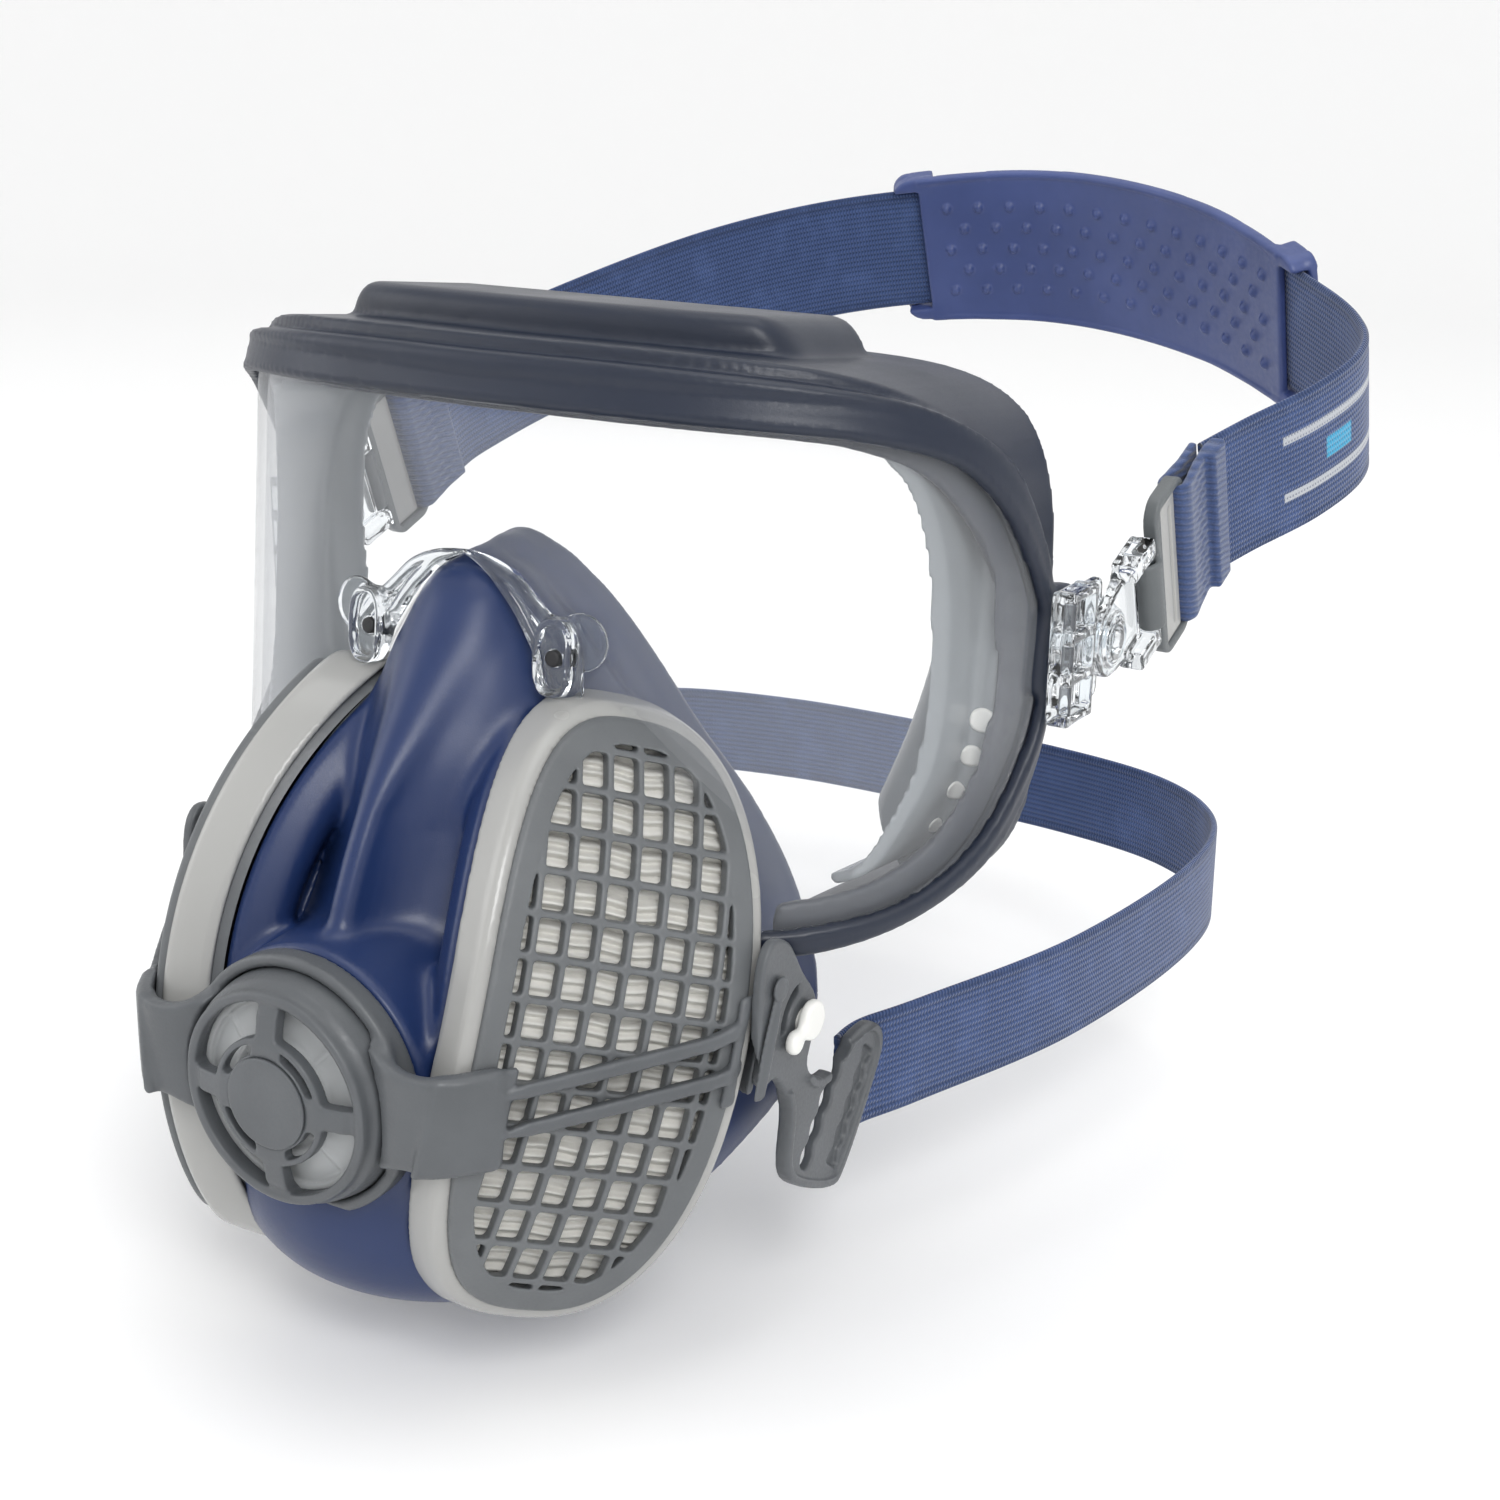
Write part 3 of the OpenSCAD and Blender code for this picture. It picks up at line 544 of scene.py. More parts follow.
BLUE = (0.010, 0.025, 0.092)
NAVY = (0.009, 0.0145, 0.031)
WEB_BLUE = (0.042, 0.075, 0.19)
GREY_INK = (0.5, 0.52, 0.55)
mask_rubber = rubber("mask_rubber", BLUE, 0.34, (0.024, 0.042, 0.12), 0.02)
goggle_rubber = rubber("goggle_rubber", NAVY, 0.38, (0.016, 0.021, 0.032), 0.02)
lining_rubber = smooth("lining_rubber", (0.23, 0.25, 0.265), 0.2)
grey = moulded("grey_plastic", (0.074, 0.08, 0.087), 0.42)
grille_grey = moulded("grille_plastic", (0.1, 0.107, 0.113), 0.45)
pale_plastic = smooth("pale_plastic", (0.34, 0.34, 0.33), 0.24)
buckle_grey = moulded("buckle_plastic", (0.1, 0.11, 0.115), 0.42)
pad_plastic = moulded("pad_plastic", (0.04, 0.062, 0.185), 0.4, 700, 0.02)
white = smooth("white_plastic", (0.78, 0.78, 0.75), 0.32)
black_rubber = rubber("black_rubber", (0.012, 0.012, 0.014), 0.5, (0.03, 0.03, 0.03))
silicone = clear("silicone", (0.75, 0.77, 0.77), 0.25, 0.45, 0.8)
clear_plastic = glassy("clear_plastic", (0.9, 0.93, 0.95), 0.03)
# the lens's last number is the strength of its painted dark reflection where it turns away
lens_clear = clear("lens_clear", (0.66, 0.68, 0.71), 0.02, 0.09, 0.55, 0.8)
# plain printed blocks: from and to along the strap, from and to across it, ink
PRINT = [(338, 376, 9, 11.6, GREY_INK), (338, 376, 24.4, 27, GREY_INK),
         (352, 362, 15, 21, (0.05, 0.38, 0.62))]
upper_web = webbing("upper_webbing", WEB_BLUE, STRAP_W, PRINT)
lower_web = webbing("lower_webbing", WEB_BLUE, NECK_W)
hem_web = fabric("hem_webbing", (0.038, 0.068, 0.175))
valve_clear = clear("valve_clear", (0.6, 0.62, 0.63), 0.14, 0.5, 0.92)


def paper():
    p = Paint("filter_paper", (0.78, 0.77, 0.73), 0.9)
    p.tint(p.ramp(p.noise(300, 4), 0.4, 0.75, 0, 0.4), (0.6, 0.59, 0.55))
    p.bump(p.noise(3000, 3), 0.05)
    return p.material


filter_paper = paper()

# ---- camera

AZIMUTH, ELEVATION, ROLL = (math.radians(a) for a in (29.736, 18.406, 0.874))
CAMERA_AT = (0.27455, -0.38825, 0.14892)
FOCAL, SENSOR = 54, 36
back = np.array([math.sin(AZIMUTH) * math.cos(ELEVATION),
                 -math.cos(AZIMUTH) * math.cos(ELEVATION), math.sin(ELEVATION)])
level = np.array([math.cos(AZIMUTH), math.sin(AZIMUTH), 0])
upright = np.cross(back, level)
right = math.cos(ROLL) * level + math.sin(ROLL) * upright
up = -math.sin(ROLL) * level + math.cos(ROLL) * upright
camera = add_object("camera", bpy.data.cameras.new("camera"))
camera.data.lens = FOCAL
camera.data.sensor_width = SENSOR
camera.data.clip_start, camera.data.clip_end = 0.01, 20
axes = Matrix([[*row] for row in np.stack([right, up, back], 1)]).to_4x4()
camera.matrix_world = Matrix.Translation(CAMERA_AT) @ axes
bpy.context.scene.camera = camera

# ---- half mask


def row_at(z, k):
    rows = np.array(BODY_ROWS)
    fine = spline(rows[:, [0, k]], 6)
    return np.interp(z, fine[:, 0], fine[:, 1]).astype(np.float32)


def body_distance(x, y, z, trim):
    """Distance to the plain body, a rounded section at each height, and to its rear face."""
    w, f, b = (row_at(z, k) for k in (1, 2, 3))
    w = w - trim
    f = f + trim
    m = np.interp(z, *np.array(BODY_SQUARE).T).astype(np.float32)
    u, v = np.abs(x) / w + 1e-5, np.abs(b - y) / (b - f) + 1e-5
    r = (u**m + v**m) ** (1 / m)
    slope = np.sqrt((u ** (m - 1) / w) ** 2 + (v ** (m - 1) / (b - f)) ** 2) / r ** (m - 1)
    return (r - 1) / slope, y - b


def bell(v, middle, spread):
    return np.exp(-(((v - middle) / spread) ** 2))


def mask_shape(x, y, z):
    ax = np.abs(x)
    core, rear = body_distance(x, y, z, 2.0)
    rise = np.clip((ax - 1.5) / 11, 0, 1)
    valley = rise * (2 - rise) * np.clip((36 - ax) / 12, 0, 1)
    valley = valley * bell(z, -26, 31) * np.clip(-(y + 18) / 22, 0, 1)
    core = core + 9.5 * valley
    # a soft channel behind the rim of the nose hood
    core = core + 3.0 * bell(rear, -11, 4) * np.clip((z + 22) / 20, 0, 1)
    lx, ly, lz = to_local(FILTER, ax, y, z)
    depth = filter_depth(ly, lz)
    cup = oval(lx, lz, FILTER_W + 1.2, FILTER_H + 0.8)
    cup = cut(cut(cup, BACK_DEPTH + 0.4 - depth, 2.5), depth - 24, 6)
    # nose ridge: a rounded wedge that narrows from the nose down to the valve
    t = np.clip((26 - z) / 54, 0, 1)
    half = 2.6 + 6.4 * (1 - np.minimum(1, 1.7 * t))
    front = row_at(z, 2) - 0.8 * np.sin(math.pi * t)
    ridge = np.hypot(ax, np.maximum(0, front + half - y)) - half
    ridge = cut(ridge, np.abs(z - 2) - 34, 5)
    collar = np.hypot(x, z - VALVE_Z) - COLLAR_R - 0.04 * (y + 80)
    collar = cut(cut(collar, -80.3 - y, 1.5), y + 45, 2)
    outer = join(core, cup, 3.6)
    outer = join(outer, ridge, 5)
    outer = join(outer, collar, 3.5)
    outer = cut(outer, z - 42, 6)
    solid = cut(less(outer, outer + WALL, 1.5), rear, 1.5)
    # rear lip, a soft flange turned in towards the face
    lip = cut(cut(slab(rear, -1.2, 1.6), outer, 1.5), -12.5 - outer, 1.5)
    solid = join(solid, lip, 1.5)
    seat = cut(filter_edge(lx, lz, 0.3), depth - BACK_DEPTH - 0.25, 0.3)
    solid = less(solid, cut(seat, -8 - depth, 1), 0.8)
    ports = np.hypot(lx, lz) - PORT_R
    solid = less(solid, cut(ports, slab(ly, 0, 45), 0.5), 0.6)
    bore = np.hypot(x, z - VALVE_Z) - VALVE_BORE_R
    return less(solid, cut(bore, slab(y, -100, -60), 0.5), 0.6)


mask = sculpt("half_mask", mask_shape, (-72, -90, -116), (72, 20, 50), 1.0)
finish_piece(mask, mask_rubber, "mask", ["facepiece", "face_seal_lip"])

# ---- goggle


def round_lens(x, y):
    """Distance round the lens from its middle, whichever side."""
    ax = np.abs(x)
    mid = LENS_MID_R * np.arctan2(ax, LENS_MID_R - y)
    side = LENS_MID_R * LENS_MID_A + LENS_SIDE_R * (
        np.arctan2(ax - LENS_C, np.maximum(FRAME_Y - y, 0)) - LENS_MID_A)
    s = np.where(ax < np.tan(LENS_MID_A) * (LENS_MID_R - y), mid, side)
    return s + np.maximum(y - FRAME_Y, 0)


def on_lens(outline, s, z):
    """Distance to an outline drawn on the lens surface; a point's s comes from round_lens."""
    curve = spline(outline, 4)
    curve = np.vstack([curve, [[-20, curve[-1, 1]], [-20, curve[0, 1]]]])
    u = np.arange(0, 162, 1.0, dtype=np.float32)
    table = inside(curve, u[:, None], z.reshape(1, -1))
    i = np.clip(s[..., 0], 0, u[-1] - 1.001)
    low = np.floor(i).astype(int)
    f = (i - low)[..., None]
    return table[low] * (1 - f) + table[low + 1] * f


def goggle_shape(x, y, z):
    ax, out = np.abs(x), over_lens(x, y)
    s = round_lens(x, y)
    bezel_out = on_lens(BEZEL_OUT, s, z)
    bezel_in = on_lens(BEZEL_IN, s, z)
    lip = bell(bezel_in, 1.6, 1.4) * 0.8
    crease = bell(bezel_in, 5.2 + 0.02 * np.abs(s), 1.1) * 0.7
    band = cut(cut(slab(out, -4.5, 2.6 + lip - crease), bezel_out, 2.4), -bezel_in, 0.9)
    flange = cut(cut(slab(out, -5.5, -2.6), bezel_out + 1, 1), -on_lens(FLANGE_IN, s, z), 0.8)
    lens_room = cut(slab(out, -2.55, 0.15), bezel_in - 3, 0.2)
    front = less(join(band, flange, 0.5), lens_room, 0.2)
    skirt_out = inside(half_outline(SKIRT_HALF), x, z)
    skirt_in = inside(half_outline(SKIRT_IN_HALF), x, z)
    wall = cut(cut(skirt_out, -skirt_in, 1.5), out + 2.4, 1.2)
    wall = cut(wall, y - 79, 1.5)
    ends = ax - 56 + 0.6 * (z - 50)
    step = cut(cut(out + 17.5, z - 56, 4.5), cut(ends, 46 - z, 1), 5)
    step = cut(step, y - 63, 2)
    # the lug on each side that carries a strap clip
    swell = 98.3 + 5.05 * np.clip((y - 58) / 14, 0, 1)
    lug = cut(slab(ax, 97.5, swell), cut(slab(y, 67, 79), slab(z, -20, 4), 3), 1.5)
    rubber_all = join(join(join(front, wall, 0.8), step, 1.6), lug, 1.2)
    open_below = cut(ax - 67, z + 18, 2)
    return less(rubber_all, open_below, 1.5)


goggle = sculpt("goggle_rubber", goggle_shape, (-108, -8, -75), (108, 84, 60), 1.0, GOGGLE)
finish_piece(goggle, goggle_rubber, "mask", ["goggle_frame", "goggle_skirt"])

# lens: a sheet that follows its plan, from the nose arch up to the brow


def lens_plan(s, off):
    """A point of the plan at arc length s from the middle, off millimetres outside it."""
    a = np.abs(s)
    mid = LENS_MID_R * LENS_MID_A
    side_end = mid + LENS_SIDE_R * (math.pi / 2 - LENS_MID_A)
    side_turn = LENS_MID_A + (np.minimum(a, side_end) - mid) / LENS_SIDE_R
    turned = np.where(a < mid, a / LENS_MID_R, side_turn)
    r = np.where(a < mid, LENS_MID_R, LENS_SIDE_R) + off
    x = np.where(a < mid, 0, LENS_C) + r * np.sin(turned)
    y = np.where(a < mid, LENS_MID_R, FRAME_Y) - r * np.cos(turned)
    return np.sign(s) * x, y


def lens_y(x):
    """How far back the lens surface is at a half width."""
    ax = np.abs(x)
    mid = LENS_MID_R - np.sqrt(LENS_MID_R**2 - ax**2)
    side = FRAME_Y - np.sqrt(np.maximum(LENS_SIDE_R**2 - np.maximum(ax - LENS_C, 0) ** 2, 0))
    return np.where(ax < LENS_MID_R * math.sin(LENS_MID_A), mid, side)


def mask_edge(z, grow=0.0):
    """Half width of the mask body where the lens crosses it, at a goggle height."""
    x = np.arange(0, 70, 0.25)
    p = np.stack([x, lens_y(x), np.full_like(x, z), np.ones_like(x)], 1) @ np.array(GOGGLE).T
    wx, wy, wz = (p[:, k].astype(np.float32) for k in range(3))
    inner = x[body_distance(wx, wy, wz, 1.6)[0] < 0]
    return (inner[-1] if len(inner) else 0.0) + grow


def nose_line(grow, low=-68):
    """The mask's outline on the lens, right half, from the top down: half width, height."""
    heights = [4, 2, 0, -2, -4, -7, *range(-10, low, -4)]
    rows = [(mask_edge(z, grow), z) for z in heights if mask_edge(z) > 0]
    return [(0, rows[0][1] + 1.5 + grow)] + rows


def build_lens():
    """The lens sheet, which follows the bezel and, in the middle, the mask's outline."""
    edge = spline(BEZEL_IN, 12)
    widest = int(np.argmax(edge[:, 0]))
    top, low = edge[: widest + 1] + [0, 1.5], edge[widest:][::-1] - [0, 1.5]
    arch = spline(nose_line(0.5), 8)
    arch = np.stack([round_lens(arch[:, 0], lens_y(arch[:, 0])), arch[:, 1]], 1)
    low = np.vstack([arch[arch[:, 0] < 64], low[low[:, 0] > 66]])
    cols, rows = 241, 45
    end = edge[widest, 0] + 1.4
    s = np.linspace(-end, end, cols)
    z1 = np.interp(np.abs(s), np.append(top[:, 0], end), np.append(top[:, 1], -11))
    z0 = np.interp(np.abs(s), np.append(low[:, 0], end), np.append(low[:, 1], -13))
    t = np.linspace(0, 1, rows)[:, None]
    z = z0 * (1 - t) + z1 * t
    front, rear = (np.stack(np.broadcast_arrays(*lens_plan(s, off), z), -1).reshape(-1, 3)
                   for off in (0.0, -LENS_T))
    return closed_sheet("lens_sheet", front, rear, rows, cols, GOGGLE)


lens = build_lens()
finish_piece(lens, lens_clear, "mask", ["lens"])


def lining_shape(x, y, z):
    """A soft grey cuff round the face opening, with a wall that turns forward to the lens."""
    out = over_lens(x, y)
    skirt_in = inside(half_outline(SKIRT_IN_HALF), x, z)
    opening = inside(half_outline(APERTURE_HALF), x, z)
    roll = np.clip(1 - opening / 7, 0, 1) ** 2
    crown = 1.2 * bell(opening, 6, 4)
    face = slab(y - 60.4 - 3.2 * roll + crown, -1.0, 1.0)
    face = cut(cut(face, skirt_in - 1.6, 1), -opening, 1.4)
    wall = cut(slab(skirt_in, -7.3, -4.9), slab(y, 30, 61), 1)
    wall = cut(wall, out + 3.4, 0.8)
    wall = cut(wall, z - 39, 1)
    d = cut(join(face, wall, 2.5), out + 3.2, 0.6)
    return less(d, cut(np.abs(x) - 75 + 0.6 * (z + 60), z + 43, 3), 1.5)


lining = sculpt("lining", lining_shape, (-99, 28, -72), (99, 72, 46), 0.7, GOGGLE)
finish_piece(lining, lining_rubber, "mask", ["seal_lining"])

# ---- filters


def rim_shape(x, y, z):
    depth = filter_depth(y, z)
    edge = filter_edge(x, z)
    flare = 1.7 * np.clip((depth - 2) / 7, 0, 1)
    d = cut(cut(edge - flare, 0.4 - depth, 2.4), depth - RIM_DEPTH, 0.8)
    return less(d, edge + 3.6, 0.5)


def grille_shape(x, y, z):
    depth = filter_depth(y, z)
    edge = filter_edge(x, z, -3.0)
    plate = cut(cut(edge, -1.2 - depth, 1.0), depth - 1.7, 0.4)
    u = (x / WINDOW_X) % 1 - 0.5
    v = (z / WINDOW_Z + 0.5) % 1 - 0.5
    half_bar, corner = 0.62, 0.8
    draft = 0.07 * (depth + 1.2)
    qx = np.abs(u * WINDOW_X) - (WINDOW_X / 2 - half_bar) + corner + draft
    qz = np.abs(v * WINDOW_Z) - (WINDOW_Z / 2 - half_bar) + corner + draft
    window = np.hypot(np.maximum(qx, 0), np.maximum(qz, 0)) - corner
    window = window + np.minimum(np.maximum(qx, qz), 0)
    field = oval(x, z, FILTER_W - 7.6, FILTER_H - 8.4)
    return less(plate, cut(window, field, 0.4), 0.35)


def build_pleats():
    """The folded filter paper behind the grille; the folds are a little uneven."""
    h, pitch, cols = FILTER_H - 4, 2.35, 49
    z = np.arange(-h, h + 0.01, 0.28)
    room = np.maximum(0.02, 1 - np.abs(z / (FILTER_H - 3.9)) ** FILTER_POWER)
    half = (FILTER_W - 3.9) * room ** (1 / FILTER_POWER)
    x = half[:, None] * np.linspace(-1, 1, cols)[None, :]
    zz = np.broadcast_to(z[:, None], x.shape)
    rng = np.random.default_rng(7)
    wobble = spline(np.stack([np.linspace(-30, 30, 14), rng.normal(0, 0.35, 14)], 1), 8)
    sway = np.interp(x, wobble[:, 0], wobble[:, 1])
    phase = (zz + sway + 0.15 * np.sin(zz * 0.9)) / pitch
    fold = 1.0 - np.abs((phase % 1) * 2 - 1) ** 1.5
    uneven = rng.normal(0, 0.22, int(2 * h / pitch) + 4)
    size = 1 + uneven[np.clip((phase + h / pitch + 1).astype(int), 0, len(uneven) - 1)]
    front, rear = (
        np.stack([x, FILTER_R - np.sqrt(np.maximum((FILTER_R - depth) ** 2 - zz**2, 0)), zz], -1)
        for depth in (2.7 + 1.9 * (1 - fold * size), RIM_DEPTH - 0.4))
    return closed_sheet("pleats_left", front.reshape(-1, 3), rear.reshape(-1, 3), len(z), cols,
                        FILTER)


def both_sides(o, material, stem, body="mask"):
    """Finish a left piece and its mirror image, in place of the CAD nodes of that stem."""
    mesh = o.data.copy()
    mesh.transform(MIRROR)
    mesh.flip_normals()
    other = add_object(o.name.replace("_left", "_right"), mesh)
    for piece, side in ((o, "left"), (other, "right")):
        finish_piece(piece, material, body if isinstance(body, str) else body[side],
                     [f"{stem}_{side}"] if stem else ())
    return other


rim = sculpt("rim_left", rim_shape, (-32, -4, -66), (32, 34, 66), 0.6, FILTER)
both_sides(rim, pale_plastic, "filter_rim")
grille = sculpt("grille_left", grille_shape, (-30, -3, -64), (30, 26, 64), 0.4, FILTER)
both_sides(grille, grille_grey, "filter_grille")
both_sides(build_pleats(), filter_paper, "filter_media")

# ---- exhale valve

VALVE = shift(0, VALVE_FACE, VALVE_Z)
COVER_LINE = [(0, 0.6), (12, 0.8), (18, 1.8), (21.6, 3.6), (23.4, 6.0), (24.2, 9.5), (24.6, 14.5),
              (21.1, 14.5), (21.1, 6.8), (18, 4.8), (12, 3.4), (0, 3)]


def cover_shape(x, y, z):
    """The grey cage: a domed cap with four spokes and two rings of windows."""
    r = np.hypot(x, z)
    body = inside(COVER_LINE, r, y) - 0.1
    spoke = 2.45 - np.minimum(np.abs(x), np.abs(z))
    outer = cut(slab(r, 13.4, 20.5), spoke, 1.0)
    inner = cut(slab(r, 10.0, 12.1), spoke + 1.2, 1.0)
    body = less(less(body, outer, 0.5), inner, 0.5)
    body = join(body, cut(slab(r, 20.4, 22.3), slab(y, 2.2, 4.4), 1.0), 1.0)
    return less(body, cut(r - 9.6, y - 1.0, 0.2), 0.3)


def badge_shape(x, y, z):
    """The plain disc in the middle of the cage, dished towards its middle."""
    r = np.hypot(x, z)
    face = 0.15 + 0.3 * np.clip(1 - (r / 7.6) ** 2, 0, 1)
    return cut(r - 9.5, slab(y, 0, 0.96) + np.maximum(face - y, 0), 0.35)


def dome_shape(x, y, z):
    """The clear housing under the cage: a shallow dome with a ring and ribs."""
    r = np.hypot(x, z)
    front = 4.7 + 0.0062 * r * r
    dome = slab(y - front, 0, 1.1)
    dome = join(dome, cut(slab(r, 11.2, 12.0), slab(y - front, -0.6, 0.4), 0.3), 0.5)
    ribs = np.minimum(np.abs(x + z), np.abs(x - z)) / math.sqrt(2) - 0.5
    dome = join(dome, cut(ribs, slab(y - front, -0.5, 0.6), 0.3), 0.5)
    side = cut(slab(r, 19.2, 20.7), slab(y, 6, 16.9), 0.4)
    return join(cut(dome, r - 20.7, 0.4), side, 0.8)


cover = sculpt("valve_cage", cover_shape, (-26, -1, -26), (26, 16, 26), 0.4, VALVE)
finish_piece(cover, grey, "mask", ["valve_cover"])
badge = sculpt("valve_disc", badge_shape, (-11, -1, -11), (11, 2, 11), 0.25, VALVE)
finish_piece(badge, grey, "mask", ["cover_badge"])
dome = sculpt("valve_housing", dome_shape, (-22, 3, -22), (22, 18, 22), 0.4, VALVE)
finish_piece(dome, valve_clear, "mask", ["exhale_housing"])

# ---- yoke and side plates

YOKE_ARM = spline([(21, -86.5), (27, -88.8), (34, -88.6), (39.5, -85.5), (43.5, -80)], 5)
FIN_TILT = math.radians(20.7)


def yoke_shape(x, y, z):
    """Ring round the valve, an arm over each filter rim, and two fins across each grille."""
    ax = np.abs(x)
    r = np.hypot(x, z - VALVE_Z)
    ring = cut(slab(r, 24.65, 27.2), slab(y, -85.6, -80.45), 0.8)
    high = np.abs(z + 53) - 9.8 - 2.6 * bell(ax, 21, 6)
    arm = cut(along(YOKE_ARM, ax, y) - 1.7, high, 1.2)
    lx, ly, lz = to_local(FILTER, ax, y, z)
    depth = filter_depth(ly, lz)
    u = lx * math.cos(FIN_TILT) + lz * math.sin(FIN_TILT)
    w = lz * math.cos(FIN_TILT) - lx * math.sin(FIN_TILT)
    wrap = cut(cut(slab(depth, -3.2, -1.45), lx + 18.5, 0.8), high, 1.0)
    wrap = cut(wrap, -34 - lx, 0.8)
    front = join(join(ring, arm, 3.0), wrap, 2.0)
    edge = filter_edge(lx, lz)
    hug = cut(slab(w, -20, 1), 21 - lx, 1)
    rear = cut(cut(slab(edge, 1.62, 3.3), slab(depth, -3.1, 9), 0.8), hug, 0.8)
    clasp = cut(cut(slab(depth, -3.1, -1.45), slab(edge, -5.5, 3.3), 0.8), hug, 0.8)
    rear = join(rear, clasp, 1.0)
    d = less(join(front, rear, 0.5), filter_room(lx, ly, lz, 1.6), 0.2)
    d = less(d, r - 24.62, 0.2)
    for middle in (-6.3, -14.0):
        half = np.minimum(1.45, 0.2 * (u + 28))
        fin = cut(slab(depth, -3.9, -0.9), np.abs(w - middle - 1.2 * bell(u, 25, 4)) - half, 0.5)
        fin = cut(fin, slab(u, -26.5, 25.5), 0.6)
        d = join(d, fin, 0.5)
    plate = cut(slab(ax, 73.95, 76.65), y + 27.5, 0.2)
    return less(d, cut(plate, -60 - y, 0.2), 0.2)


yoke = sculpt("yoke_strap", yoke_shape, (-82, -94, -80), (82, -24, -26), 0.6)
finish_piece(yoke, grey, "mask", ["yoke"])

PIN_Y, PIN_Z = -18.0, -49.0
RIVET_Y, RIVET_Z = -29, -37.6
SLOT_Y, SLOT_Z = 0.616, 0.788  # the direction of the neck strap's slots
PLATE_LINE = [(-35, -35), (-31, -27.5), (-24, -29.5), (-18, -38), (-12, -46), (-13, -54),
              (-15, -60), (-11, -65), (-3, -65.5), (5, -62), (14, -62), (18.5, -67), (16, -74),
              (2, -91.5), (-5, -93.5), (-19, -86.5), (-24, -80), (-23, -67), (-28, -58),
              (-35, -56)]


def plate_shape(x, y, z):
    """The plate behind a filter: pin hole, arc slot, and two wavy slots for the neck strap."""
    edge = inside(spline(PLATE_LINE, 4, closed=True), y, z)
    rim = cut(slab(edge, -2.0, -0.1), cut(z + 63, slab(x, 74, 77.3), 0.5), 0.5)
    d = join(cut(edge, slab(x, 74, 76.4), 0.6), rim, 0.5)
    r = np.hypot(y - PIN_Y, z - PIN_Z)
    d = less(d, r - 2.65, 0.3)
    turn_at = np.arctan2(z - PIN_Z, -(y - PIN_Y))
    arc = cut(slab(r, 6.2, 8.9), np.abs(turn_at - math.radians(40)) - math.radians(42), 0.4)
    d = less(d, cut(arc, 72 - x, 0.2), 0.3)
    for row, floor_x in ((0, 70.0), (1, 75.2)):
        from_y, from_z = y + 6.5 - 11.5 * row, z + 72 + 6.5 * row
        at = from_y * SLOT_Y + from_z * SLOT_Z
        across = from_y * SLOT_Z - from_z * SLOT_Y
        wave = 2.3 + 0.6 * np.cos(at * 2 * math.pi / 6.4)
        slot = cut(np.abs(across) - wave, np.abs(at) - 15.5 + 2 * row, 1.2)
        d = less(d, cut(slot, floor_x - x, 0.2), 0.4)
    return less(d, filter_room(*to_local(FILTER, x, y, z), 1.7), 0.3)


def pin_shape(x, y, z):
    """A white pin with a large and a small lobe, which turns in its plate."""
    stem = cut(np.hypot(y - PIN_Y, z - PIN_Z) - 2.6, slab(x, 73.4, 77.5), 0.3)
    big = np.hypot(y - PIN_Y - 0.6, z - PIN_Z - 0.4) - 4.3
    small = np.hypot(y - PIN_Y + 6.4, z - PIN_Z + 1.9) - 2.5
    lobes = cut(join(big, small, 3.0), slab(x, 77.0, 79.4), 1.1)
    return join(stem, lobes, 0.4)


def rivet_shape(x, y, z):
    r = np.hypot(y - RIVET_Y, z - RIVET_Z)
    return cut(r - 2.75, slab(x, 76.65, 78.0) + 0.04 * r * r, 0.5)


plate = sculpt("side_plate_left_looks", plate_shape, (72, -40, -96), (79, 21, -25), 0.4)
both_sides(plate, grey, "side_plate")
pin = sculpt("turn_pin_left", pin_shape, (72, -31, -60), (81, -9, -40), 0.35)
both_sides(pin, white, "lock_pin",
           {"left": "lock_left", "right": "lock_right"})
rivet = sculpt("rivet_left", rivet_shape, (75.5, -33, -42), (79, -25, -33), 0.3)
rivet_right = both_sides(rivet, grey, None)
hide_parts("plate_rivets")
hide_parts("plate_rivets")

# ---- nose clamp and lining marks

NOSE_PIN_X, NOSE_PIN_Z = 23.6, -14.2


def clamp_outline(x, z):
    outer = [(0, 5.0), (7, 4.2), (13.5, 1.6), (18.5, -3), (23.5, -7.5), (27, -12), (29, -17),
             (29.5, -21)]
    inner = nose_line(0.8, -22)[::-1]
    half = outer + [(27.5, -23.5), (24.5, -22)] + inner[:-1] + [(0, inner[-1][1])]
    return inside(half_outline(half, 4), x, z)


def clamp_shape(x, y, z):
    """A clear ridged arch on the lens over the nose, with a tab and a round pad each side."""
    ax = np.abs(x)
    out = over_lens(x, y)
    edge = clamp_outline(x, z)
    sheet = cut(edge, slab(out, 0.15, 1.3), 0.4)
    ribs = np.minimum(np.hypot(edge + 1.5, out - 1.5), np.hypot(edge + 4.6, out - 1.9)) - 1.35
    arch = join(sheet, cut(ribs, cut(0.2 - out, -15 - z, 0.5), 0.3), 0.5)
    tab_edge = oval(ax - 24, z + 14, 4.6, 8.2, 2.6)
    tab = cut(tab_edge, slab(out, 0.15, 2.4), 0.6)
    tab = join(tab, cut(slab(tab_edge, -1.5, -0.1), slab(out, 0.15, 4.6), 0.6), 0.4)
    pad = cut(np.hypot(ax - 28.5, z + 10.5) - 6.0, slab(out, 0.15, 1.5), 0.6)
    d = join(join(arch, tab, 1.2), pad, 0.6)
    hole = np.hypot(ax - NOSE_PIN_X, z - NOSE_PIN_Z) - 1.9
    return less(d, cut(hole, 0.9 - out, 0.3), 0.4)


def nose_pin_shape(x, y, z):
    out = over_lens(x, y)
    pin = np.hypot(np.abs(x) - NOSE_PIN_X, z - NOSE_PIN_Z) - 1.75
    return cut(pin, slab(out, 0.2, 3.6), 0.5)


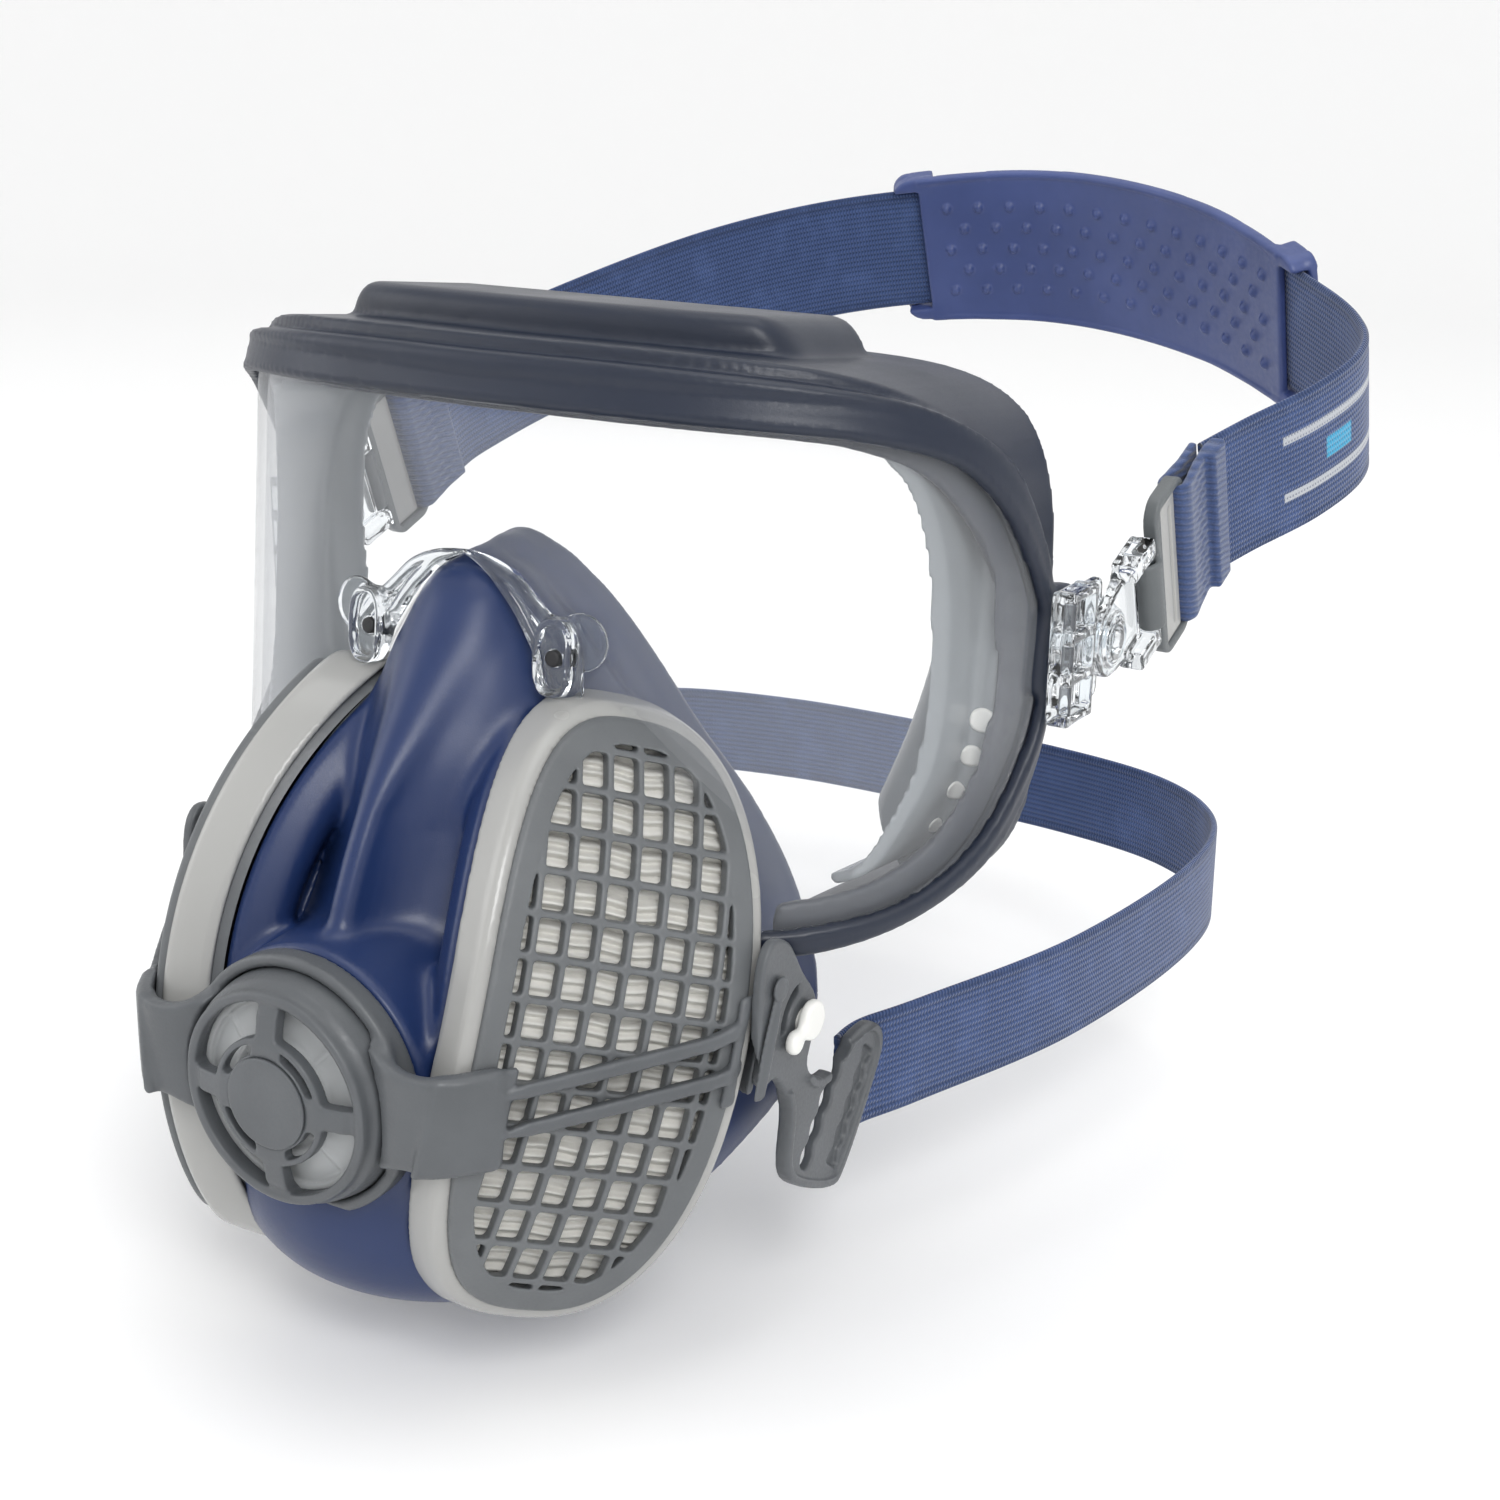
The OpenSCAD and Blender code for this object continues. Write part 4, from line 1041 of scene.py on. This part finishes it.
clamp = sculpt("nose_arch_clamp", clamp_shape, (-38, -8, -28), (38, 12, 9), 0.4, GOGGLE)
finish_piece(clamp, clear_plastic, "mask", ["nose_clamp"])
pins = sculpt("nose_arch_pins", nose_pin_shape, (-27, -6, -18), (27, 8, -10), 0.35, GOGGLE)
finish_piece(pins, black_rubber, "mask", ["nose_pins"])

# the top mark's place and radius, the drop and shrink to the next, and the way that they face
MARK_X, MARK_Y, MARK_Z, MARK_R = 91.5, 60, -25, 2.7
MARK_STEP, MARK_SHRINK, MARK_TURN = 8.0, 0.3, math.radians(35)


def dots_shape(x, y, z):
    """Four round marks a side on the lining's surface, lower ones smaller and nearer the middle."""
    d = np.inf
    for k in range(4):
        cx = MARK_X - 1.2 * k - 0.4 * k * k
        cy, cz = MARK_Y - k * k / 3, MARK_Z - MARK_STEP * k
        r = MARK_R - MARK_SHRINK * k
        dx, dy = np.abs(x) - cx, y - cy
        across = dx * math.cos(MARK_TURN) + dy * math.sin(MARK_TURN)
        ahead = dx * math.sin(MARK_TURN) - dy * math.cos(MARK_TURN)
        d = np.minimum(d, cut(np.hypot(across, z - cz) - r, np.abs(ahead) - 5, 0.1))
    return cut(d, slab(lining_shape(x, y, z), -0.6, 0.4), 0.2)


dots = sculpt("lining_marks", dots_shape, (-96, 52, -53), (96, 65, -20), 0.45, GOGGLE)
finish_piece(dots, white, "mask", ["lining_dots"])

# ---- strap clips and buckles

STUD_Y, STUD_Z, STUD_HOLE_R = 59.0, 19.0, 3.05
BAR_X, BAR_Y = 110.3, 19  # the link's bar, in the head harness's frame


def clip_base_shape(x, y, z):
    """A clear ladder fixed to the side of the goggle, with a round eye for the link."""
    h = z - STUD_Z
    r = np.hypot(y - STUD_Y, h)
    thick = slab(x, 103.6, 105.8)
    sheet = cut(thick, cut(slab(y, 36.5, 60), slab(h, -13.5, 13.5), 2.5), 0.6)
    sheet = join(sheet, cut(r - 8, thick, 0.6), 1.5)
    rung = (h + 4.5) / 9
    rungs = np.abs(rung - np.round(rung)) * 9 - 1.1
    ladder = cut(rungs, slab(h, -14.6, 14.6), 0.4)
    ladder = join(ladder, np.minimum(slab(y, 36.2, 38.2), slab(y, 47.6, 49.6)), 0.6)
    ladder = cut(cut(ladder, slab(h, -14.6, 14.6), 0.6), slab(y, 36.2, 49.6), 0.6)
    ladder = cut(ladder, slab(x, 103.6, 109.0 + 0.02 * (y - 44)), 0.8)
    d = join(sheet, ladder, 0.6)
    return less(d, r - STUD_HOLE_R, 0.3)


def clip_link_shape(x, y, z):
    """The clear link: an eye on the stud, two arms and a round bar for the buckle."""
    r, az = np.hypot(y, z), np.abs(z)
    web = cut(slab(y, 0, 15.5), slab(z, -8.5 - 0.25 * y, 8.5 + 0.25 * y), 1)
    d = cut(join(r - 8.5, web, 1.5), slab(x, 106.3, 109.2), 0.7)
    arms = cut(slab(az, 9.2, 13.8), slab(y, 8, 20.4), 1)
    d = join(d, cut(arms, slab(x, 106.3, 112.2), 0.8), 1.0)
    bar = cut(np.hypot(x - BAR_X, y - BAR_Y) - 1.8, az - 13.5, 0.3)
    rim = cut(slab(r, 5.0, 6.2), slab(x, 106.3, 109.9), 0.4)
    return less(join(join(d, bar, 0.4), rim, 0.4), r - STUD_HOLE_R, 0.3)


def stud_shape(x, y, z):
    r = np.hypot(y - STUD_Y, z - STUD_Z)
    stem = cut(r - 3.0, slab(x, 102.8, 110.4), 0.3)
    head = cut(r - 4.5, slab(x, 109.45, 111.2) + 0.03 * r * r, 0.5)
    foot = cut(r - 4.4, slab(x, 102.8, 103.55), 0.1)
    return join(join(stem, head, 0.5), foot, 0.3)


def buckle_shape(x, y, z):
    """A grey frame with cut corners; the strap is looped round its rear bar."""
    az, r = np.abs(z), np.hypot(x, y)
    frame_edge = cut(slab(y, 2.6, 20.4), az - 20.4, 0.8)
    frame_edge = cut(frame_edge, (az + np.abs(y - 11.5) - 26.0) / math.sqrt(2), 1.5)
    window = cut(slab(y, 5.6, 16.8), az - 18.0, 0.8)
    d = less(cut(frame_edge, slab(x, -1.7, 1.7), 0.6), window, 0.4)
    hook = cut(r - 3.3, az - 8.4, 0.5)
    return less(join(d, hook, 1.0), r - 1.87, 0.2)


def buckle_face_shape(x, y, z):
    plate = cut(cut(slab(y, 5.7, 15.3), np.abs(z) - 17.9, 0.8), slab(x, -0.6, 1.1), 0.4)
    return less(plate, cut(slab(y, 11.4, 12.2), cut(np.abs(z) - 15, 0.4 - x, 0.2), 0.2), 0.2)


base = sculpt("clip_ladder_left", clip_base_shape, (102.5, 34, 2), (110.5, 69, 36), 0.4)
both_sides(base, clear_plastic, "clip_base")
link = sculpt("clip_arm_left", clip_link_shape, (105, -10, -16), (113.5, 22.5, 16), 0.4, HARNESS)
both_sides(link, clear_plastic, "clip_link", "harness")
stud = sculpt("clip_stud_left", stud_shape, (101.5, 52, 12), (112.5, 66, 26), 0.35)
both_sides(stud, clear_plastic, "pivot_stud")
BUCKLE = HARNESS @ shift(BAR_X, BAR_Y, 0)
BUCKLE_BODY = {"left": "buckle_left", "right": "buckle_right"}
frame_part = sculpt("buckle_frame_left", buckle_shape, (-4.5, -4.5, -22), (4.5, 22, 22), 0.45,
                    BUCKLE)
both_sides(frame_part, buckle_grey, "buckle", BUCKLE_BODY)
face_part = sculpt("buckle_face_left", buckle_face_shape, (-2, 4.5, -19), (2, 16.5, 19), 0.4,
                   BUCKLE)
both_sides(face_part, pale_plastic, None, BUCKLE_BODY)

# ---- straps


def build_band(name, run, width, place):
    """Flat webbing along a run in plan, with round edges and a thin line inside each."""
    run, s = resample(run, 1.2)
    nrm = normals_of(run)
    edge = np.array([0, 0.25, 0.7, 1.3, 2.2, 3.0])
    v = np.concatenate([edge, np.linspace(4, width - 4, 13), width - edge[::-1]])
    d = np.minimum(v, width - v)
    t = WEB_T / 2 * np.where(d < 0.7, np.sqrt(np.clip(d / 0.7, 0.08, 1)), 1.0)
    t = t * np.where((d > 2.6) & (d < 3.4), 0.82, 1.0)
    loop_v = np.concatenate([v, v[::-1]])
    loop_t = np.concatenate([t, -t[::-1]])
    k = len(loop_v)
    pts = np.empty((len(run), k, 3))
    pts[..., :2] = run[:, None] + nrm[:, None] * loop_t[:, None]
    pts[..., 2] = loop_v - width / 2
    faces = grid_faces(len(run), k, close_cols=True)
    u = np.repeat(s, k).reshape(len(run), k)
    uv_pt = np.stack([u, np.broadcast_to(loop_v, u.shape)], -1).reshape(-1, 2)
    j = np.arange(len(v) - 1)
    end = np.stack([j, j + 1, k - 2 - j, k - 1 - j], 1)
    faces = np.vstack([faces, end[:, ::-1], end + (len(run) - 1) * k])
    return mesh_object(name, pts.reshape(-1, 3), faces, place, uv_pt[faces])


neck = build_band("neck_strap", spline(NECK_RUN, 12), NECK_W, NECK)
finish_piece(neck, lower_web, "mask", ["lower_strap"])

head = build_band("head_strap", spline(STRAP_RUN, 12), STRAP_W, HARNESS)
finish_piece(head, upper_web, "harness", ["upper_strap"])

RUN, RUN_S = resample(spline(STRAP_RUN, 12), 0.5)
PAD_START, PAD_END, PAD_H = 153.0, 300.0, 22.0


def along_run(points):
    """Bend flat points (distance along the strap, offset inward, height) round the run."""
    at = points[:, 0]
    base, side = (np.stack([np.interp(at, RUN_S, row[:, k]) for k in range(2)], 1)
                  for row in (RUN, normals_of(RUN)))
    return np.column_stack([base + side * points[:, 1:2], points[:, 2]])


def pad_shape(x, y, z):
    """Flat pad: a plate inside the strap, an outer bar past a slot at each end, and bumps."""
    u = x - (PAD_START + PAD_END) / 2
    half = (PAD_END - PAD_START) / 2
    au, az = np.abs(u), np.abs(z)
    tall = PAD_H + 1.6 * np.clip(1 - (u / (half - 6)) ** 2, 0, 1)
    edge = cut(au - half, az - tall, 7)
    plate = cut(cut(edge, au - half + 8, 1.0), slab(y, 1.2, 3.6), 0.7)
    bar = cut(cut(edge, half - 4.4 - au, 0.8), slab(y, -3.8, -1.3), 0.8)
    tall_part = cut(18.4 - az, slab(y, -3.8, 3.6), 0.8)
    bridge = cut(cut(edge, half - 12 - au, 1), tall_part, 0.8)
    d = join(join(plate, bridge, 0.8), bar, 0.8)
    rim = cut(slab(edge, -1.6, -0.2), slab(y, 1.2, 4.2), 0.4)
    d = join(d, cut(rim, au - half + 8, 0.6), 0.6)
    pitch_u, pitch_z = 9.6, 6.4
    row = np.round(z / pitch_z)
    shifted = u + pitch_u / 2 * (row % 2)
    du = shifted - pitch_u * np.round(shifted / pitch_u)
    dz = z - pitch_z * row
    bump = np.sqrt(du**2 + dz**2 + (y - 3.4) ** 2) - 1.6
    bump = cut(bump, cut(au - 60, az - 16, 0.1), 0.1)
    return join(d, bump, 0.3)


pad = sculpt("head_pad_looks", pad_shape, (PAD_START - 2, -5, -26), (PAD_END + 2, 6, 26), 0.55,
             HARNESS, along_run)
finish_piece(pad, pad_plastic, "harness", ["head_pad"])


def hem_shape(x, y, z):
    """The folded end of the strap round the buckle's rear bar, sewn down behind it."""
    loop = slab(np.hypot(x, y - 18.7), 1.95, 3.75)
    loop = cut(cut(loop, y - 19.5, 0.3), 15.6 - y, 0.3)
    taper = np.clip((y - 19) / 9, 0, 1)
    sides = slab(np.abs(x), 1.95 - 1.0 * taper, 3.75 - 1.0 * taper)
    wave = 0.25 * np.cos(z * 2 * math.pi / 2.6) * bell(y, 27, 5)
    sides = cut(sides + wave, slab(y, 19, 36), 0.4)
    fold = cut(slab(x, 1.0, 5.0 + wave), slab(y, 31, 39), 1.2)
    d = join(join(loop, sides, 0.4), fold, 0.8)
    return cut(d, np.abs(z) - STRAP_W / 2, 0.5)


hem = sculpt("strap_hem_left", hem_shape, (-5.5, 13, -20), (6.5, 41, 20), 0.5, BUCKLE)
both_sides(hem, hem_web, "strap_end", BUCKLE_BODY)

# ---- CAD pieces that stay

STAY = {
    grey: ["exhale_seat", "port_ring_left", "port_ring_right"],
    grille_grey: ["filter_back_left", "filter_back_right"],
    black_rubber: ["filter_gasket_left", "filter_gasket_right"],
    silicone: ["exhale_flap", "inhale_flap_left", "inhale_flap_right"],
}
for material, names in STAY.items():
    for n in names:
        coat(nodes[n], material)

# ---- room and light

FLOOR_Z = cad_box[0].z - 0.012
BEND_R = 0.9  # between the flat floor and the upright wall
bend = np.radians(np.arange(0, 91, 6))
bowl_r = np.concatenate([[0.02, 0.4, 0.8, 1.2, 1.6], 1.8 + BEND_R * np.sin(bend), [2.7]])
bowl_z = np.concatenate([np.zeros(5), BEND_R - BEND_R * np.cos(bend), [1.5]]) + FLOOR_Z
round_by = np.radians(np.arange(0, 360, 5))
bowl = np.stack([bowl_r[:, None] * np.cos(round_by), bowl_r[:, None] * np.sin(round_by),
                 np.broadcast_to(bowl_z[:, None], (len(bowl_r), len(round_by)))], -1)
bowl_mesh = bpy.data.meshes.new("floor")
bowl_faces = grid_faces(len(bowl_r), len(round_by), close_cols=True).tolist()
bowl_mesh.from_pydata(bowl.reshape(-1, 3).tolist(), [], bowl_faces + [[*range(len(round_by))]])
bowl_mesh.shade_smooth()
floor = add_object("floor", bowl_mesh)
floor.data.materials.append(Paint("floor", (0.93, 0.93, 0.93), 0.9).material)


def soft_light(name, at, size, power):
    """A square lamp that faces the origin: place and size in metres, power in watts."""
    light = bpy.data.lights.new(name, "AREA")
    light.shape = "RECTANGLE"
    light.size = light.size_y = size
    light.energy = power
    o = add_object(name, light)
    o.location = at
    o.rotation_mode = "QUATERNION"
    o.rotation_quaternion = (-Vector(at)).to_track_quat("-Z", "Y")


soft_light("key", (0.9, -0.9, 1.0), 0.6, 11)
soft_light("fill", (-1.3, -0.7, 0.6), 0.9, 4)
soft_light("top", (0.1, 0.2, 1.6), 1.2, 6)
world = bpy.data.worlds.new("studio")
world.use_nodes = True
background = world.node_tree.nodes["Background"]
background.inputs["Color"].default_value = (1, 1, 1, 1)
background.inputs["Strength"].default_value = 0.88
bpy.context.scene.world = world
bpy.context.scene.view_settings.view_transform = "Standard"
